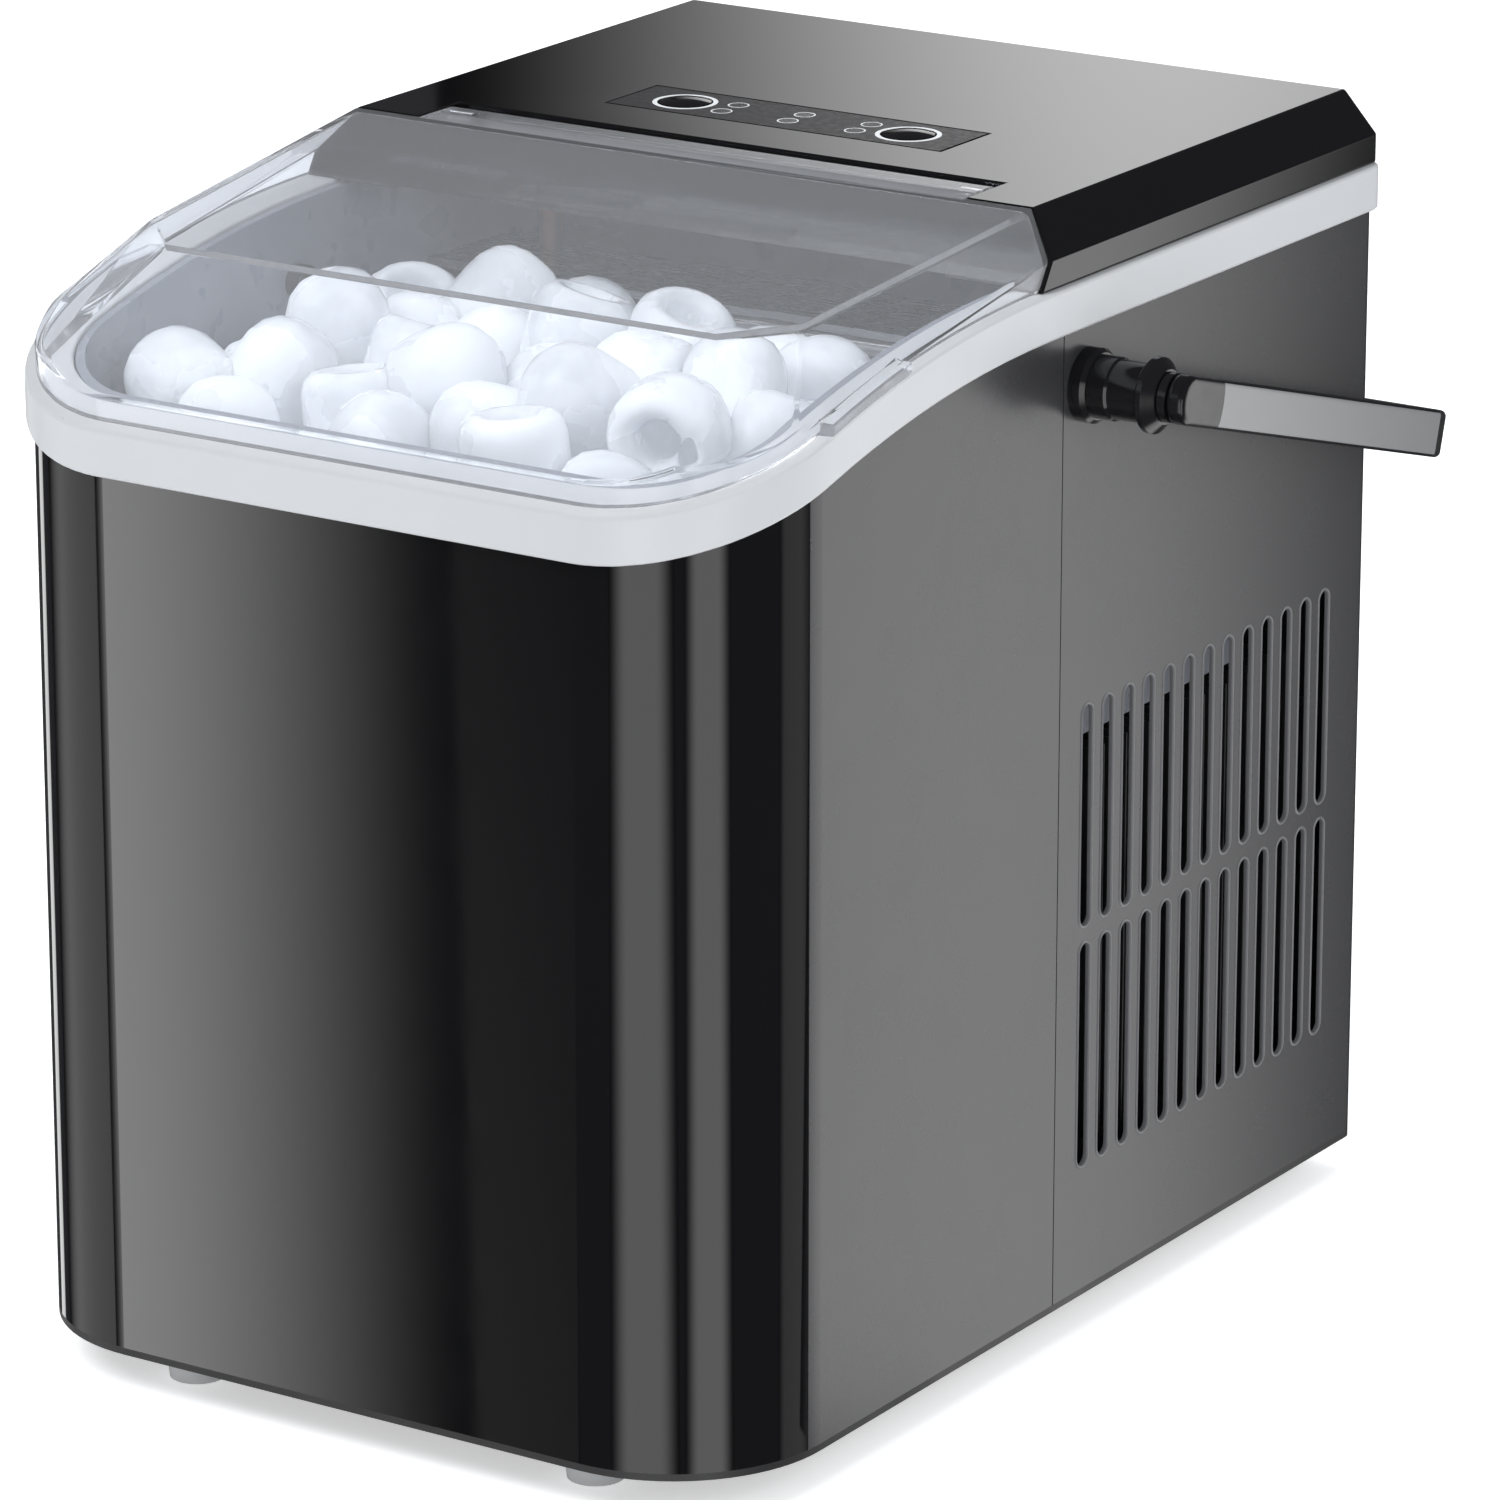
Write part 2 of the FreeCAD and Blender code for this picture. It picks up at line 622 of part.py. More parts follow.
def make_rails():
    """Two rails on the reservoir's side walls that carry the basket."""
    rails = []
    wall = LINER_HALF - LINER_T
    for side in (-1, 1):
        x0, x1 = sorted((side * wall, side * (wall - LEDGE)))
        rails.append(box(x0, x1, LINER_FRONT + LINER_R, RES_BACK - LINER_T - 2, BASKET_Z - LIFT - 3, BASKET_Z - LIFT))
    return group(rails)


def make_foam():
    """Insulation round the reservoir."""
    outer = outline(LINER_HALF + FOAM, LINER_FRONT - FOAM, RES_BACK, LINER_R + FOAM, 1.0,
                    RES_Z - FOAM, BASKET_TOP - 12)
    inner = outline(LINER_HALF, LINER_FRONT, RES_BACK + 1, LINER_R, 0, RES_Z, FAR)
    foam = outer.cut(inner).common(under_sweep(TRIM_BOT))
    spout = rod(DRAIN_R + DRAIN_WALL, -FAR, DRAIN_Y, drain_z(), FAR, (1, 0, 0))
    return foam.cut(spout)


def make_basket():
    """Lift-out ice basket, low at the rear, with a slotted floor."""
    half = LINER_HALF - LINER_T - BASKET_CLEAR
    front = LINER_FRONT + LINER_T + BASKET_CLEAR
    radius = LINER_R - LINER_T - BASKET_CLEAR
    outer = outline(half, front, BASKET_REAR, radius, 8.0, BASKET_Z, BASKET_TOP)
    t = BASKET_T
    inner = outline(half - t, front + t, BASKET_REAR - t, radius - t, 6.0, BASKET_Z + t, FAR)
    basket = outer.cut(inner)
    basket = basket.cut(box(-FAR, FAR, BASKET_REAR - 40, FAR, BASKET_BACK_TOP, FAR))
    slots = []
    count = 9
    pitch = (2 * half - 24) / (count - 1)
    for column in range(count):
        x = -half + 12 + column * pitch
        slots.append(box(x - 2, x + 2, front + radius, BASKET_REAR - 14, BASKET_Z - 1, BASKET_Z + t + 1))
    return basket.cut(group(slots))


# ---------------------------------------------------------------- ice making
def finger_places():
    """Centres of the freezing fingers, as X and Y."""
    places = []
    for y, count in FINGER_ROWS:
        start = -(count - 1) * FINGER_PITCH / 2
        places += [(start + i * FINGER_PITCH, y) for i in range(count)]
    return places


def make_evaporator():
    """Plated tube bent into a U, with fingers that hang into the tray."""
    front_y, rear_y = FINGER_ROWS[0][0], FINGER_ROWS[1][0]
    reach = 2 * FINGER_PITCH + 8
    bend = (rear_y - front_y) / 2
    legs = [rod(TUBE_R, -reach, y, TUBE_Z, 2 * reach, (1, 0, 0)) for y in (front_y, rear_y)]
    ring = Part.makeTorus(bend, TUBE_R, Vector(reach, (front_y + rear_y) / 2, TUBE_Z), Vector(0, 0, 1))
    turn = ring.common(box(reach, FAR, -FAR, FAR, 0, FAR))
    fingers = []
    for x, y in finger_places():
        fingers.append(rod(FINGER_R, x, y, FINGER_TIP + FINGER_R, TUBE_Z - FINGER_TIP - FINGER_R, (0, 0, 1)))
        fingers.append(Part.makeSphere(FINGER_R, Vector(x, y, FINGER_TIP + FINGER_R)))
    return joined(legs[0], legs[1], turn, *fingers)


def make_bracket():
    """Cross plate that carries the evaporator between the bay's walls."""
    half = LINER_HALF - LINER_T
    y0, y1 = FINGER_ROWS[0][0] - 6, FINGER_ROWS[1][0] + 6
    z = TUBE_Z + TUBE_R
    plate = box(-half, half, y0, y1, z, z + 2.0)
    x = suction_x()
    return plate.cut(box(x - 4, x + 4, FINGER_ROWS[1][0] - 4, y1 + 1, z - 1, z + 3))


def make_tray():
    """Tilting water tray with two ears on its shaft."""
    half = TRAY_W / 2
    low = TRAY_TOP - TRAY_DEPTH
    t = TRAY_T
    cut = 9.0

    def trough(inset):
        y0, y1 = TRAY_Y0 + inset, TRAY_Y1 - inset
        z = low + inset
        return prism([(inset - half, y0, z + cut), (inset - half, y0 + cut, z), (inset - half, y1 - cut, z),
                      (inset - half, y1, z + cut), (inset - half, y1, TRAY_TOP + inset),
                      (inset - half, y0, TRAY_TOP + inset)], (2 * (half - inset), 0, 0))

    body = trough(0.0).cut(trough(t))
    ears = []
    for side in (-1, 1):
        x0, x1 = sorted((side * half, side * (half - 3)))
        ears.append(box(x0, x1, TRAY_Y1 - 6, TRAY_AXIS_Y, TRAY_TOP - 6, TRAY_TOP))
        ears.append(rod(6.0, x0, TRAY_AXIS_Y, TRAY_TOP, 3, (1, 0, 0)))
    tray = joined(body, *ears)
    return tray.cut(rod(SHAFT_R, -FAR, TRAY_AXIS_Y, TRAY_TOP, 2 * FAR, (1, 0, 0)))


def shaft_ends():
    """Left and right end of the tray shaft."""
    inside = LINER_HALF - LINER_T
    return -inside + MOTOR_L - 9, inside - 1.0


def make_shaft():
    """Steel shaft of the tray, from the motor to the bush."""
    x0, x1 = shaft_ends()
    return rod(SHAFT_R, x0, TRAY_AXIS_Y, TRAY_TOP, x1 - x0, (1, 0, 0))


def make_shovel():
    """Comb on the tray's front edge that pushes fallen ice into the basket."""
    half = TRAY_W / 2 - 6
    low = TRAY_TOP - TRAY_DEPTH
    strip = box(-half, half, TRAY_Y0 - 2.5, TRAY_Y0, low + 10, TRAY_TOP - 2)
    teeth = []
    count = 7
    for i in range(count):
        x = -half + 2 + i * (2 * half - 4) / (count - 1)
        teeth.append(box(x - 1.5, x + 1.5, TRAY_Y0 - 6, TRAY_Y0 - 2, low + 4, low + 16))
    return joined(strip, *teeth)


def make_tray_motor():
    """Gear motor that turns the tray shaft."""
    x0 = -(LINER_HALF - LINER_T)
    y, z = TRAY_AXIS_Y, TRAY_TOP
    case = box(x0, x0 + MOTOR_L, y - 12, y + 22, z - 14, z + 16)
    return case.cut(rod(SHAFT_R + RUN, x0 + MOTOR_L - 10, y, z, 12, (1, 0, 0)))


def make_bush():
    """Plastic bush for the tray shaft's far end."""
    x1 = LINER_HALF - LINER_T
    ring = rod(7.0, x1 - 7, TRAY_AXIS_Y, TRAY_TOP, 7, (1, 0, 0))
    return ring.cut(rod(SHAFT_R + RUN, x1 - 8, TRAY_AXIS_Y, TRAY_TOP, 9, (1, 0, 0)))


def make_sensor(side):
    """Infra-red ice level sensor on the chamber wall."""
    wall = side * (LINER_HALF - LINER_T)
    x0 = wall if side < 0 else wall - 4
    return rod(4.0, x0, BASKET_REAR - 20, BASKET_TOP + 14, 4, (1, 0, 0))


# ---------------------------------------------------------------- cold circuit
MOUNT_ANGLES = (30, 150, 270)
MOUNT_REACH = COMP_R + 3.0


def mount_places():
    """Centres of the compressor's three rubber mounts."""
    spots = []
    for angle in MOUNT_ANGLES:
        a = math.radians(angle)
        spots.append((COMP_X + MOUNT_REACH * math.cos(a), COMP_Y + MOUNT_REACH * math.sin(a)))
    return spots


def make_compressor():
    """Welded steel compressor shell on a three-eared foot plate."""
    foot_z = BASE_Z + COMP_LIFT
    dome = 16.0
    body = rod(COMP_R - 4, COMP_X, COMP_Y, foot_z, COMP_TOP - foot_z, (0, 0, 1))
    top_edge = [e for e in body.Edges if abs(e.CenterOfMass.z - COMP_TOP) < 0.01 and len(e.Vertexes) == 1]
    body = body.makeFillet(dome, top_edge)
    seam = rod(COMP_R - 2, COMP_X, COMP_Y, foot_z + 0.45 * (COMP_TOP - foot_z), 4, (0, 0, 1))
    plate = [rod(7.0, x, y, foot_z, 2.5, (0, 0, 1)) for x, y in mount_places()]
    disc = rod(COMP_R, COMP_X, COMP_Y, foot_z, 2.5, (0, 0, 1))
    return joined(body, seam, disc, *plate)


def make_compressor_mounts():
    """Rubber mounts between the base pan and the compressor's foot plate."""
    return group([rod(6.0, x, y, BASE_Z, COMP_LIFT, (0, 0, 1)) for x, y in mount_places()])


def make_condenser_fins():
    """Fin pack beside the right-hand vents."""
    count = int(2 * COND_HALF / FIN_PITCH)
    z0, z1 = FAN_Z - COND_HALF + 4, FAN_Z + COND_HALF - 4
    fins = []
    for i in range(count + 1):
        y = FAN_Y - COND_HALF + i * FIN_PITCH
        fin = box(COND_X0, COND_X1, y, y + FIN_T, z0, z1)
        fins.append(fin)
    return group(fins).cut(coil_legs(COIL_R))


def coil_places():
    """Centres of the condenser's straight tubes, as X and Z."""
    middle = (COND_X0 + COND_X1) / 2
    return [(middle + shift, FAN_Z - 36 + 24 * i) for i, shift in enumerate((-4, 4, -4, 4))]


COIL_R = 2.5
COIL_BEND = 8.0
COIL_OVER = COIL_BEND + 4.0          # straight tube beyond the fins, where it turns back


def coil_legs(radius):
    """Straight tubes through the fins, to cut their holes."""
    length = 2 * COND_HALF + 8
    return group([rod(radius, x, FAN_Y - COND_HALF - 4, z, length, (0, 1, 0)) for x, z in coil_places()])


def make_condenser_coil():
    """Copper tube that runs to and fro through the fins."""
    ends = (FAN_Y - COND_HALF - COIL_OVER, FAN_Y + COND_HALF + COIL_OVER)
    points = []
    for i, (x, z) in enumerate(coil_places()):
        first, last = ends if i % 2 == 0 else ends[::-1]
        points += [(x, first, z), (x, last, z)]
    return pipe(points, COIL_R, COIL_BEND)


SHROUD_X = COND_X0 - 4.0


def make_shroud():
    """Plate and ring that guide the fan's air into the condenser."""
    plate = box(SHROUD_X, COND_X0, FAN_Y - COND_HALF - 1, FAN_Y + COND_HALF + 1, FAN_Z - COND_HALF, FAN_Z + COND_HALF)
    ring = rod(FAN_R + FAN_TIP_GAP + 2, SHROUD_X - 12, FAN_Y, FAN_Z, 13, (1, 0, 0))
    legs = box(SHROUD_X, COND_X0, FAN_Y - COND_HALF - 1, FAN_Y + COND_HALF + 1, BASE_Z, FAN_Z - COND_HALF + 1)
    body = joined(plate, ring, legs)
    return body.cut(rod(FAN_R + FAN_TIP_GAP, SHROUD_X - 20, FAN_Y, FAN_Z, 40, (1, 0, 0)))


ROTOR_X = SHROUD_X - 10.0
ROTOR_L = 12.0
HUB_FAN_R = 13.0


def make_rotor():
    """Fan hub with tilted blades and its shaft."""
    hub = rod(HUB_FAN_R, ROTOR_X, FAN_Y, FAN_Z, ROTOR_L, (1, 0, 0))
    shaft = rod(2.0, ROTOR_X - 9, FAN_Y, FAN_Z, 10, (1, 0, 0))
    blades = []
    for i in range(BLADES):
        blade = box(-4.6, 4.6, -1.0, 1.0, HUB_FAN_R - 2, FAN_R)
        blade.rotate(Vector(0, 0, 0), Vector(0, 0, 1), 50)
        blade.translate(Vector(ROTOR_X + ROTOR_L / 2, FAN_Y, FAN_Z))
        blade.rotate(Vector(0, FAN_Y, FAN_Z), Vector(1, 0, 0), i * 360.0 / BLADES)
        blades.append(blade)
    return joined(hub, shaft, *blades)


def make_fan_motor():
    """Fan motor on a post from the base pan."""
    x1 = ROTOR_X - 2.0
    case = rod(17.0, x1 - 22, FAN_Y, FAN_Z, 22, (1, 0, 0))
    post = box(x1 - 16, x1 - 8, FAN_Y - 9, FAN_Y + 9, BASE_Z, FAN_Z - 10)
    motor = joined(case, post)
    return motor.cut(rod(2.0 + RUN, x1 - 8, FAN_Y, FAN_Z, 10, (1, 0, 0)))


def suction_x():
    """Where the suction line rises from the evaporator, across the machine."""
    return -(2 * FINGER_PITCH + 22)


def line_points():
    """Routes of the suction, discharge and liquid lines."""
    back = BAY_BACK + 14
    tube_end = -(2 * FINGER_PITCH + 8)
    rear_y = FINGER_ROWS[1][0]
    over = TRIM_TOP - 4
    rise = suction_x()
    suction = [(tube_end, rear_y, TUBE_Z), (rise, rear_y, TUBE_Z), (rise, rear_y, over + 9),
               (rise, back, over + 9), (rise, back, 160), (COMP_X - 10, back, 150),
               (COMP_X - 10, COMP_Y + 8, 144), (COMP_X - 10, COMP_Y + 8, COMP_TOP)]
    x, z = coil_places()[3]
    start_y = FAN_Y - COND_HALF - COIL_OVER
    front = start_y - 6
    discharge = [(COMP_X + 14, COMP_Y - 8, COMP_TOP), (COMP_X + 14, COMP_Y - 8, COMP_TOP + 10),
                 (COMP_X + 14, front, COMP_TOP + 10), (x, front, COMP_TOP + 10), (x, front, z), (x, start_y, z)]
    return suction, discharge


def make_filter():
    """Filter drier, upright behind the bay."""
    x, y = 30.0, (BAY_BACK + HALF_D) / 2
    body = rod(8.0, x, y, 172, 50, (0, 0, 1))
    low = Part.makeCone(3.0, 8.0, 8, Vector(x, y, 164), Vector(0, 0, 1))
    high = Part.makeCone(8.0, 3.0, 8, Vector(x, y, 222), Vector(0, 0, 1))
    stay = box(x - 2, x + 2, BAY_BACK, y, 190, 196)
    return joined(body, low, high, stay)


def make_power_board():
    """Power board with its transformer, on the back of the bay."""
    x0, x1 = -30.0, 14.0
    board = box(x0, x1, BAY_BACK + 6, BAY_BACK + 7.6, 168, 236)
    posts = [rod(2.5, x, BAY_BACK, z, 6, (0, 1, 0)) for x in (x0 + 5, x1 - 5) for z in (173, 231)]
    block = box(x0 + 8, x0 + 30, BAY_BACK + 7.6, BAY_BACK + 27, 176, 200)
    relay = box(x0 + 10, x0 + 26, BAY_BACK + 7.6, BAY_BACK + 20, 210, 224)
    return joined(board, block, relay, *posts)


# ---------------------------------------------------------------- water
HOSE_R = 3.0
HOSE_Y = DATUM + 20.0
HOSE_Z = 232.0
PUMP_TOP = BASE_Z + 34.0
HOSE_X = -(HALF_W + LINER_HALF) / 2 + 0.4


def make_pump():
    """Small water pump behind the reservoir."""
    x, y = HOSE_X + 14, HOSE_Y + 4
    case = rod(13.0, x, y, BASE_Z, PUMP_TOP - BASE_Z - 4, (0, 0, 1))
    spout = rod(4.0, HOSE_X + 8, HOSE_Y, PUMP_TOP - 6, 6, (0, 0, 1))
    return joined(case, spout)


def make_hose():
    """Hose from the pump up the side of the bay and in over the tray."""
    x0 = HOSE_X + 8
    tip = -TRAY_W / 2 + 8
    points = [(x0, HOSE_Y, PUMP_TOP), (x0, HOSE_Y, PUMP_TOP + 30), (HOSE_X, HOSE_Y, PUMP_TOP + 52),
              (HOSE_X, HOSE_Y, HOSE_Z), (tip, HOSE_Y, HOSE_Z)]
    return pipe(points, HOSE_R, 4.5)


def make_drain_plug():
    """Stopper for the drain spout, pulled out sideways."""
    face = -(HALF_W + LIFT)
    head = rod(PLUG_R, face - PLUG_T, DRAIN_Y, drain_z(), PLUG_T, (1, 0, 0))
    stem = rod(DRAIN_R - 0.08, face - 0.5, DRAIN_Y, drain_z(), 12, (1, 0, 0))
    return joined(head, stem)


# ---------------------------------------------------------------- services
def make_gland():
    """Flanged cord inlet in the rear panel."""
    x, z = gland_place()
    sleeve = rod(GLAND_R, x, HALF_D - SHEET - 6, z, SHEET + 6, (0, 1, 0))
    flange = rod(GLAND_R + 2.5, x, HALF_D, z, 2.4, (0, 1, 0))
    nut = rod(GLAND_R + 2.5, x, HALF_D - SHEET - 5, z, 5 - 0.0, (0, 1, 0))
    return joined(sleeve, flange, nut).cut(rod(GLAND_BORE, x, HALF_D - 20, z, 40, (0, 1, 0)))


def make_rear_screws():
    """Pan-head screws of the rear panel."""
    screws = []
    for x, z in rear_screw_places():
        shank = rod(SCREW_R, x, HALF_D - 8, z, 8.5, (0, 1, 0))
        head = rod(SCREW_HEAD, x, HALF_D, z, 1.6, (0, 1, 0))
        slot = box(x - SCREW_HEAD, x + SCREW_HEAD, HALF_D + 0.9, HALF_D + 3, z - 0.4, z + 0.4)
        screws.append(joined(shank, head).cut(slot))
    return group(screws)


# ---------------------------------------------------------------- carry handle
def turned(points, side):
    """A solid of revolution about the handle's pivot axis, from (distance out, radius) pairs."""
    wire = Part.makePolygon([Vector(d, r, 0) for d, r in points] + [Vector(points[0][0], points[0][1], 0)])
    solid = Part.Face(wire).revolve(Vector(0, 0, 0), Vector(1, 0, 0), 360)
    if side < 0:
        solid = solid.mirror(Vector(0, 0, 0), Vector(1, 0, 0))
    solid.translate(Vector(side * HALF_W, PIVOT_Y, PIVOT_Z))
    return solid


def make_boss(side):
    """Fixed pivot boss: disc, stepped neck and spindle."""
    step = BOSS_R - 0.5
    return turned([(0, 0), (0, BOSS_DISC_R), (BOSS_DISC_T - 1, BOSS_DISC_R), (BOSS_DISC_T, BOSS_DISC_R - 1),
                   (BOSS_DISC_T, BOSS_R), (BOSS_L / 2, BOSS_R), (BOSS_L / 2 + 0.6, step), (BOSS_L, step),
                   (BOSS_L, SPINDLE_R), (AXLE_END - 1, SPINDLE_R), (AXLE_END - 1, 0)], side)


def make_ring(side):
    """Flared ring at the end of the boss."""
    flare = BOSS_L + RING_T
    return turned([(BOSS_L, SPINDLE_R), (BOSS_L, RING_R - 0.6), (BOSS_L + 0.6, RING_R), (flare, RING_R),
                   (flare + RING_CONE, HUB_R + 0.6), (flare + RING_CONE, SPINDLE_R)], side)


def hub_start():
    """Where the turning hub begins, outwards from the side panel."""
    return BOSS_L + RING_T + RING_CONE + LIFT


def make_hub(side):
    """Black hub between the ring and the arm, turning with the arm."""
    start = hub_start()
    end = ARM_OUT - ARM_T + 0.6
    bore = SPINDLE_R + RUN
    hub = turned([(start, bore), (start, HUB_R), (end, HUB_R), (end, bore)], side)
    return hub.cut(handle_bow())


def handle_bow():
    """The whole U of arms and grip, stowed, as one solid."""
    half_pivot = HALF_W + ARM_OUT
    half_tip = HALF_W + TIP_OUT
    start = -ARM_H / 2
    lean = (half_pivot - half_tip) / ARM_REACH
    near = half_pivot - lean * start
    outer = prism([(-near, start, -ARM_H / 2), (near, start, -ARM_H / 2), (half_tip, ARM_REACH, -ARM_H / 2),
                   (-half_tip, ARM_REACH, -ARM_H / 2)], (0, 0, ARM_H))
    outer = round_corners(outer, GRIP_R)
    far = ARM_REACH - GRIP_T
    inner = prism([(-near + ARM_T, start - 1, -ARM_H), (near - ARM_T, start - 1, -ARM_H),
                   (half_tip + lean * GRIP_T - ARM_T, far, -ARM_H),
                   (-half_tip - lean * GRIP_T + ARM_T, far, -ARM_H)], (0, 0, 2 * ARM_H))
    inner = round_corners(inner, GRIP_R - ARM_T)
    bow = outer.cut(inner)
    end = rod(ARM_H / 2, -FAR, 0, 0, 2 * FAR, (1, 0, 0))
    rest = box(-FAR, FAR, 0, FAR, -FAR, FAR)
    bow = bow.common(end.fuse(rest))
    bow.rotate(Vector(0, 0, 0), Vector(1, 0, 0), -HANDLE_ANGLE)
    bow.translate(Vector(0, PIVOT_Y, PIVOT_Z))
    return bow


def round_corners(shape, radius):
    """Rounds the two upright edges at the far end of a tapered block."""
    far = max(v.Y for v in shape.Vertexes)
    edges = [e for e in shape.Edges if upright(e) and abs(e.CenterOfMass.y - far) < 0.01]
    return shape.makeFillet(radius, edges)


def along_arm(distance):
    """A point of the stowed handle's middle plane, at a distance from the pivot."""
    a = math.radians(HANDLE_ANGLE)
    return Vector(0, PIVOT_Y + distance * math.cos(a), PIVOT_Z - distance * math.sin(a))


def make_handle_pieces():
    """Left arm, right arm and rear grip, bored for the spindles."""
    a = math.radians(HANDLE_ANGLE)
    joint = along_arm(ARM_REACH - GRIP_R - 1.0)
    behind = half_space(tuple(joint), (0, math.cos(a), -math.sin(a)))
    bow = handle_bow()
    depth = AXLE_END
    for side in (-1, 1):
        x = side * HALF_W if side > 0 else -HALF_W - depth
        bow = bow.cut(rod(SPINDLE_R + RUN, x, PIVOT_Y, PIVOT_Z, depth, (1, 0, 0)))
    grip = bow.common(behind)
    arms = bow.cut(behind)
    left = arms.common(box(-FAR, 0, -FAR, FAR, 0, FAR))
    right = arms.common(box(0, FAR, -FAR, FAR, 0, FAR))
    return soften(left), soften(right), soften(grip)


def soften(shape):
    """Rounds the long edges that run along the arm."""
    long_edges = [e for e in shape.Edges if len(e.Vertexes) == 2 and e.Length > 60]
    return shape.makeFillet(1.6, long_edges)


# ---------------------------------------------------------------- assembly
def build():
    """Makes every piece and keeps it under its node name."""
    save("front_wrap_panel", make_front_wrap())
    save("side_panel_left", make_side_panel(-1))
    save("side_panel_right", make_side_panel(1))
    save("rear_shell", make_rear_shell())
    save("base_pan", make_base_pan())
    for end, y_side in (("front", -1), ("rear", 1)):
        for name, x_side in (("left", -1), ("right", 1)):
            save(f"foot_{end}_{name}", make_foot(x_side, y_side))
    save("trim_ring", make_trim_ring())
    save("top_cover", make_top_cover())
    save("control_label", make_label())
    save("control_board", make_board())
    save("control_switches", make_switches())
    save("lamp_pipes", make_light_pipes())
    save("power_button", make_button(-1))
    save("select_button", make_button(1))
    save("lid", make_lid())
    save("lid_pin_left", make_lid_pin(-1))
    save("lid_pin_right", make_lid_pin(1))
    save("liner", make_liner())
    save("basket_rails", make_rails())
    save("insulation", make_foam())
    save("ice_basket", make_basket())
    save("evaporator", make_evaporator())
    save("evaporator_bracket", make_bracket())
    save("water_tray", make_tray())
    save("tray_shaft", make_shaft())
    save("ice_shovel", make_shovel())
    save("tray_motor", make_tray_motor())
    save("tray_bush", make_bush())
    save("ice_sensor_left", make_sensor(-1))
    save("ice_sensor_right", make_sensor(1))
    save("compressor", make_compressor())
    save("compressor_mounts", make_compressor_mounts())
    save("condenser_fins", make_condenser_fins())
    save("condenser_coil", make_condenser_coil())
    save("fan_shroud", make_shroud())
    save("fan_rotor", make_rotor())
    save("fan_motor", make_fan_motor())
    suction, discharge = line_points()
    save("suction_line", pipe(suction, 3.0, 5.0))
    save("discharge_line", pipe(discharge, 2.5, 5.0))
    save("filter_drier", make_filter())
    save("power_board", make_power_board())
    save("water_pump", make_pump())
    save("water_hose", make_hose())
    save("drain_plug", make_drain_plug())
    save("cord_gland", make_gland())
    save("rear_screws", make_rear_screws())
    for name, side in (("left", -1), ("right", 1)):
        save(f"handle_boss_{name}", make_boss(side))
        save(f"handle_ring_{name}", make_ring(side))
        save(f"handle_hub_{name}", make_hub(side))
    left, right, grip = make_handle_pieces()
    save("handle_arm_left", left)
    save("handle_arm_right", right)
    save("handle_grip", grip)


def main():
    """Builds the machine and writes one file for each piece."""
    os.makedirs("parts", exist_ok=True)
    build()
    shift = Vector(0, origin_shift(), 0)
    for name, shape in PARTS.items():
        shape = shape.copy()
        shape.translate(shift)
        solids = shape.Solids
        print(name, len(solids), "valid" if shape.isValid() else "INVALID", round(shape.Volume, 1))
        shape.exportStep(f"parts/{name}.step")


if __name__ == "__main__":
    main()
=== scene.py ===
import json
import logging
import math
import random
from dataclasses import dataclass
from enum import Enum

import bmesh
import bpy
from mathutils import Matrix, Vector
from mathutils.bvhtree import BVHTree
from mathutils.kdtree import KDTree

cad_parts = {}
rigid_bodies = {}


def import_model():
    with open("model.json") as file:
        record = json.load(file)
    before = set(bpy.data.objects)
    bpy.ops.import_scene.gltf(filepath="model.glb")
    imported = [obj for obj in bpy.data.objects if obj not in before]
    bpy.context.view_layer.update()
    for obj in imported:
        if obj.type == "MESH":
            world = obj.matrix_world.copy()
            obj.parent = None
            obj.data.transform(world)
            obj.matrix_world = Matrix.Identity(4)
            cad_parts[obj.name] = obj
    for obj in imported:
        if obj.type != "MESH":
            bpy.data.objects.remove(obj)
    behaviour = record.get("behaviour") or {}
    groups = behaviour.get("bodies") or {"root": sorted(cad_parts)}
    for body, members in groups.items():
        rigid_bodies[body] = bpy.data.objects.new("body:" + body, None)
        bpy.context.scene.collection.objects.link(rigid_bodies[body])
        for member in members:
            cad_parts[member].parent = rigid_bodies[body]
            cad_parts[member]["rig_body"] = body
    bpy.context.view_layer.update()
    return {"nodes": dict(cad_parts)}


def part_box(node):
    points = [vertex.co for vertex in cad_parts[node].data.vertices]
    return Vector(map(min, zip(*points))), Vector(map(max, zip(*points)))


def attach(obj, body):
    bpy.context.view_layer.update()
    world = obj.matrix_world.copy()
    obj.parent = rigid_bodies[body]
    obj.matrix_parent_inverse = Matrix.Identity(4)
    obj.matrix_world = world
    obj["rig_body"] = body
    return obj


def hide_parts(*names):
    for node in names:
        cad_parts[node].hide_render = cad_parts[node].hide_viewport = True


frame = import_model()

log = logging.getLogger("ice_maker")
MM = 0.001
MERGE_DISTANCE = 1e-5
COAT_ROUGHNESS = 0.04
GRAIN_HEIGHT = 0.1 * MM
NOISE_RANGE = (0.3, 0.7)
SENSOR = 36.0
Rgb = tuple[float, float, float]


class Side(Enum):
    """Which side of the machine a piece is on, as seen from the front."""

    LEFT = -1
    RIGHT = 1


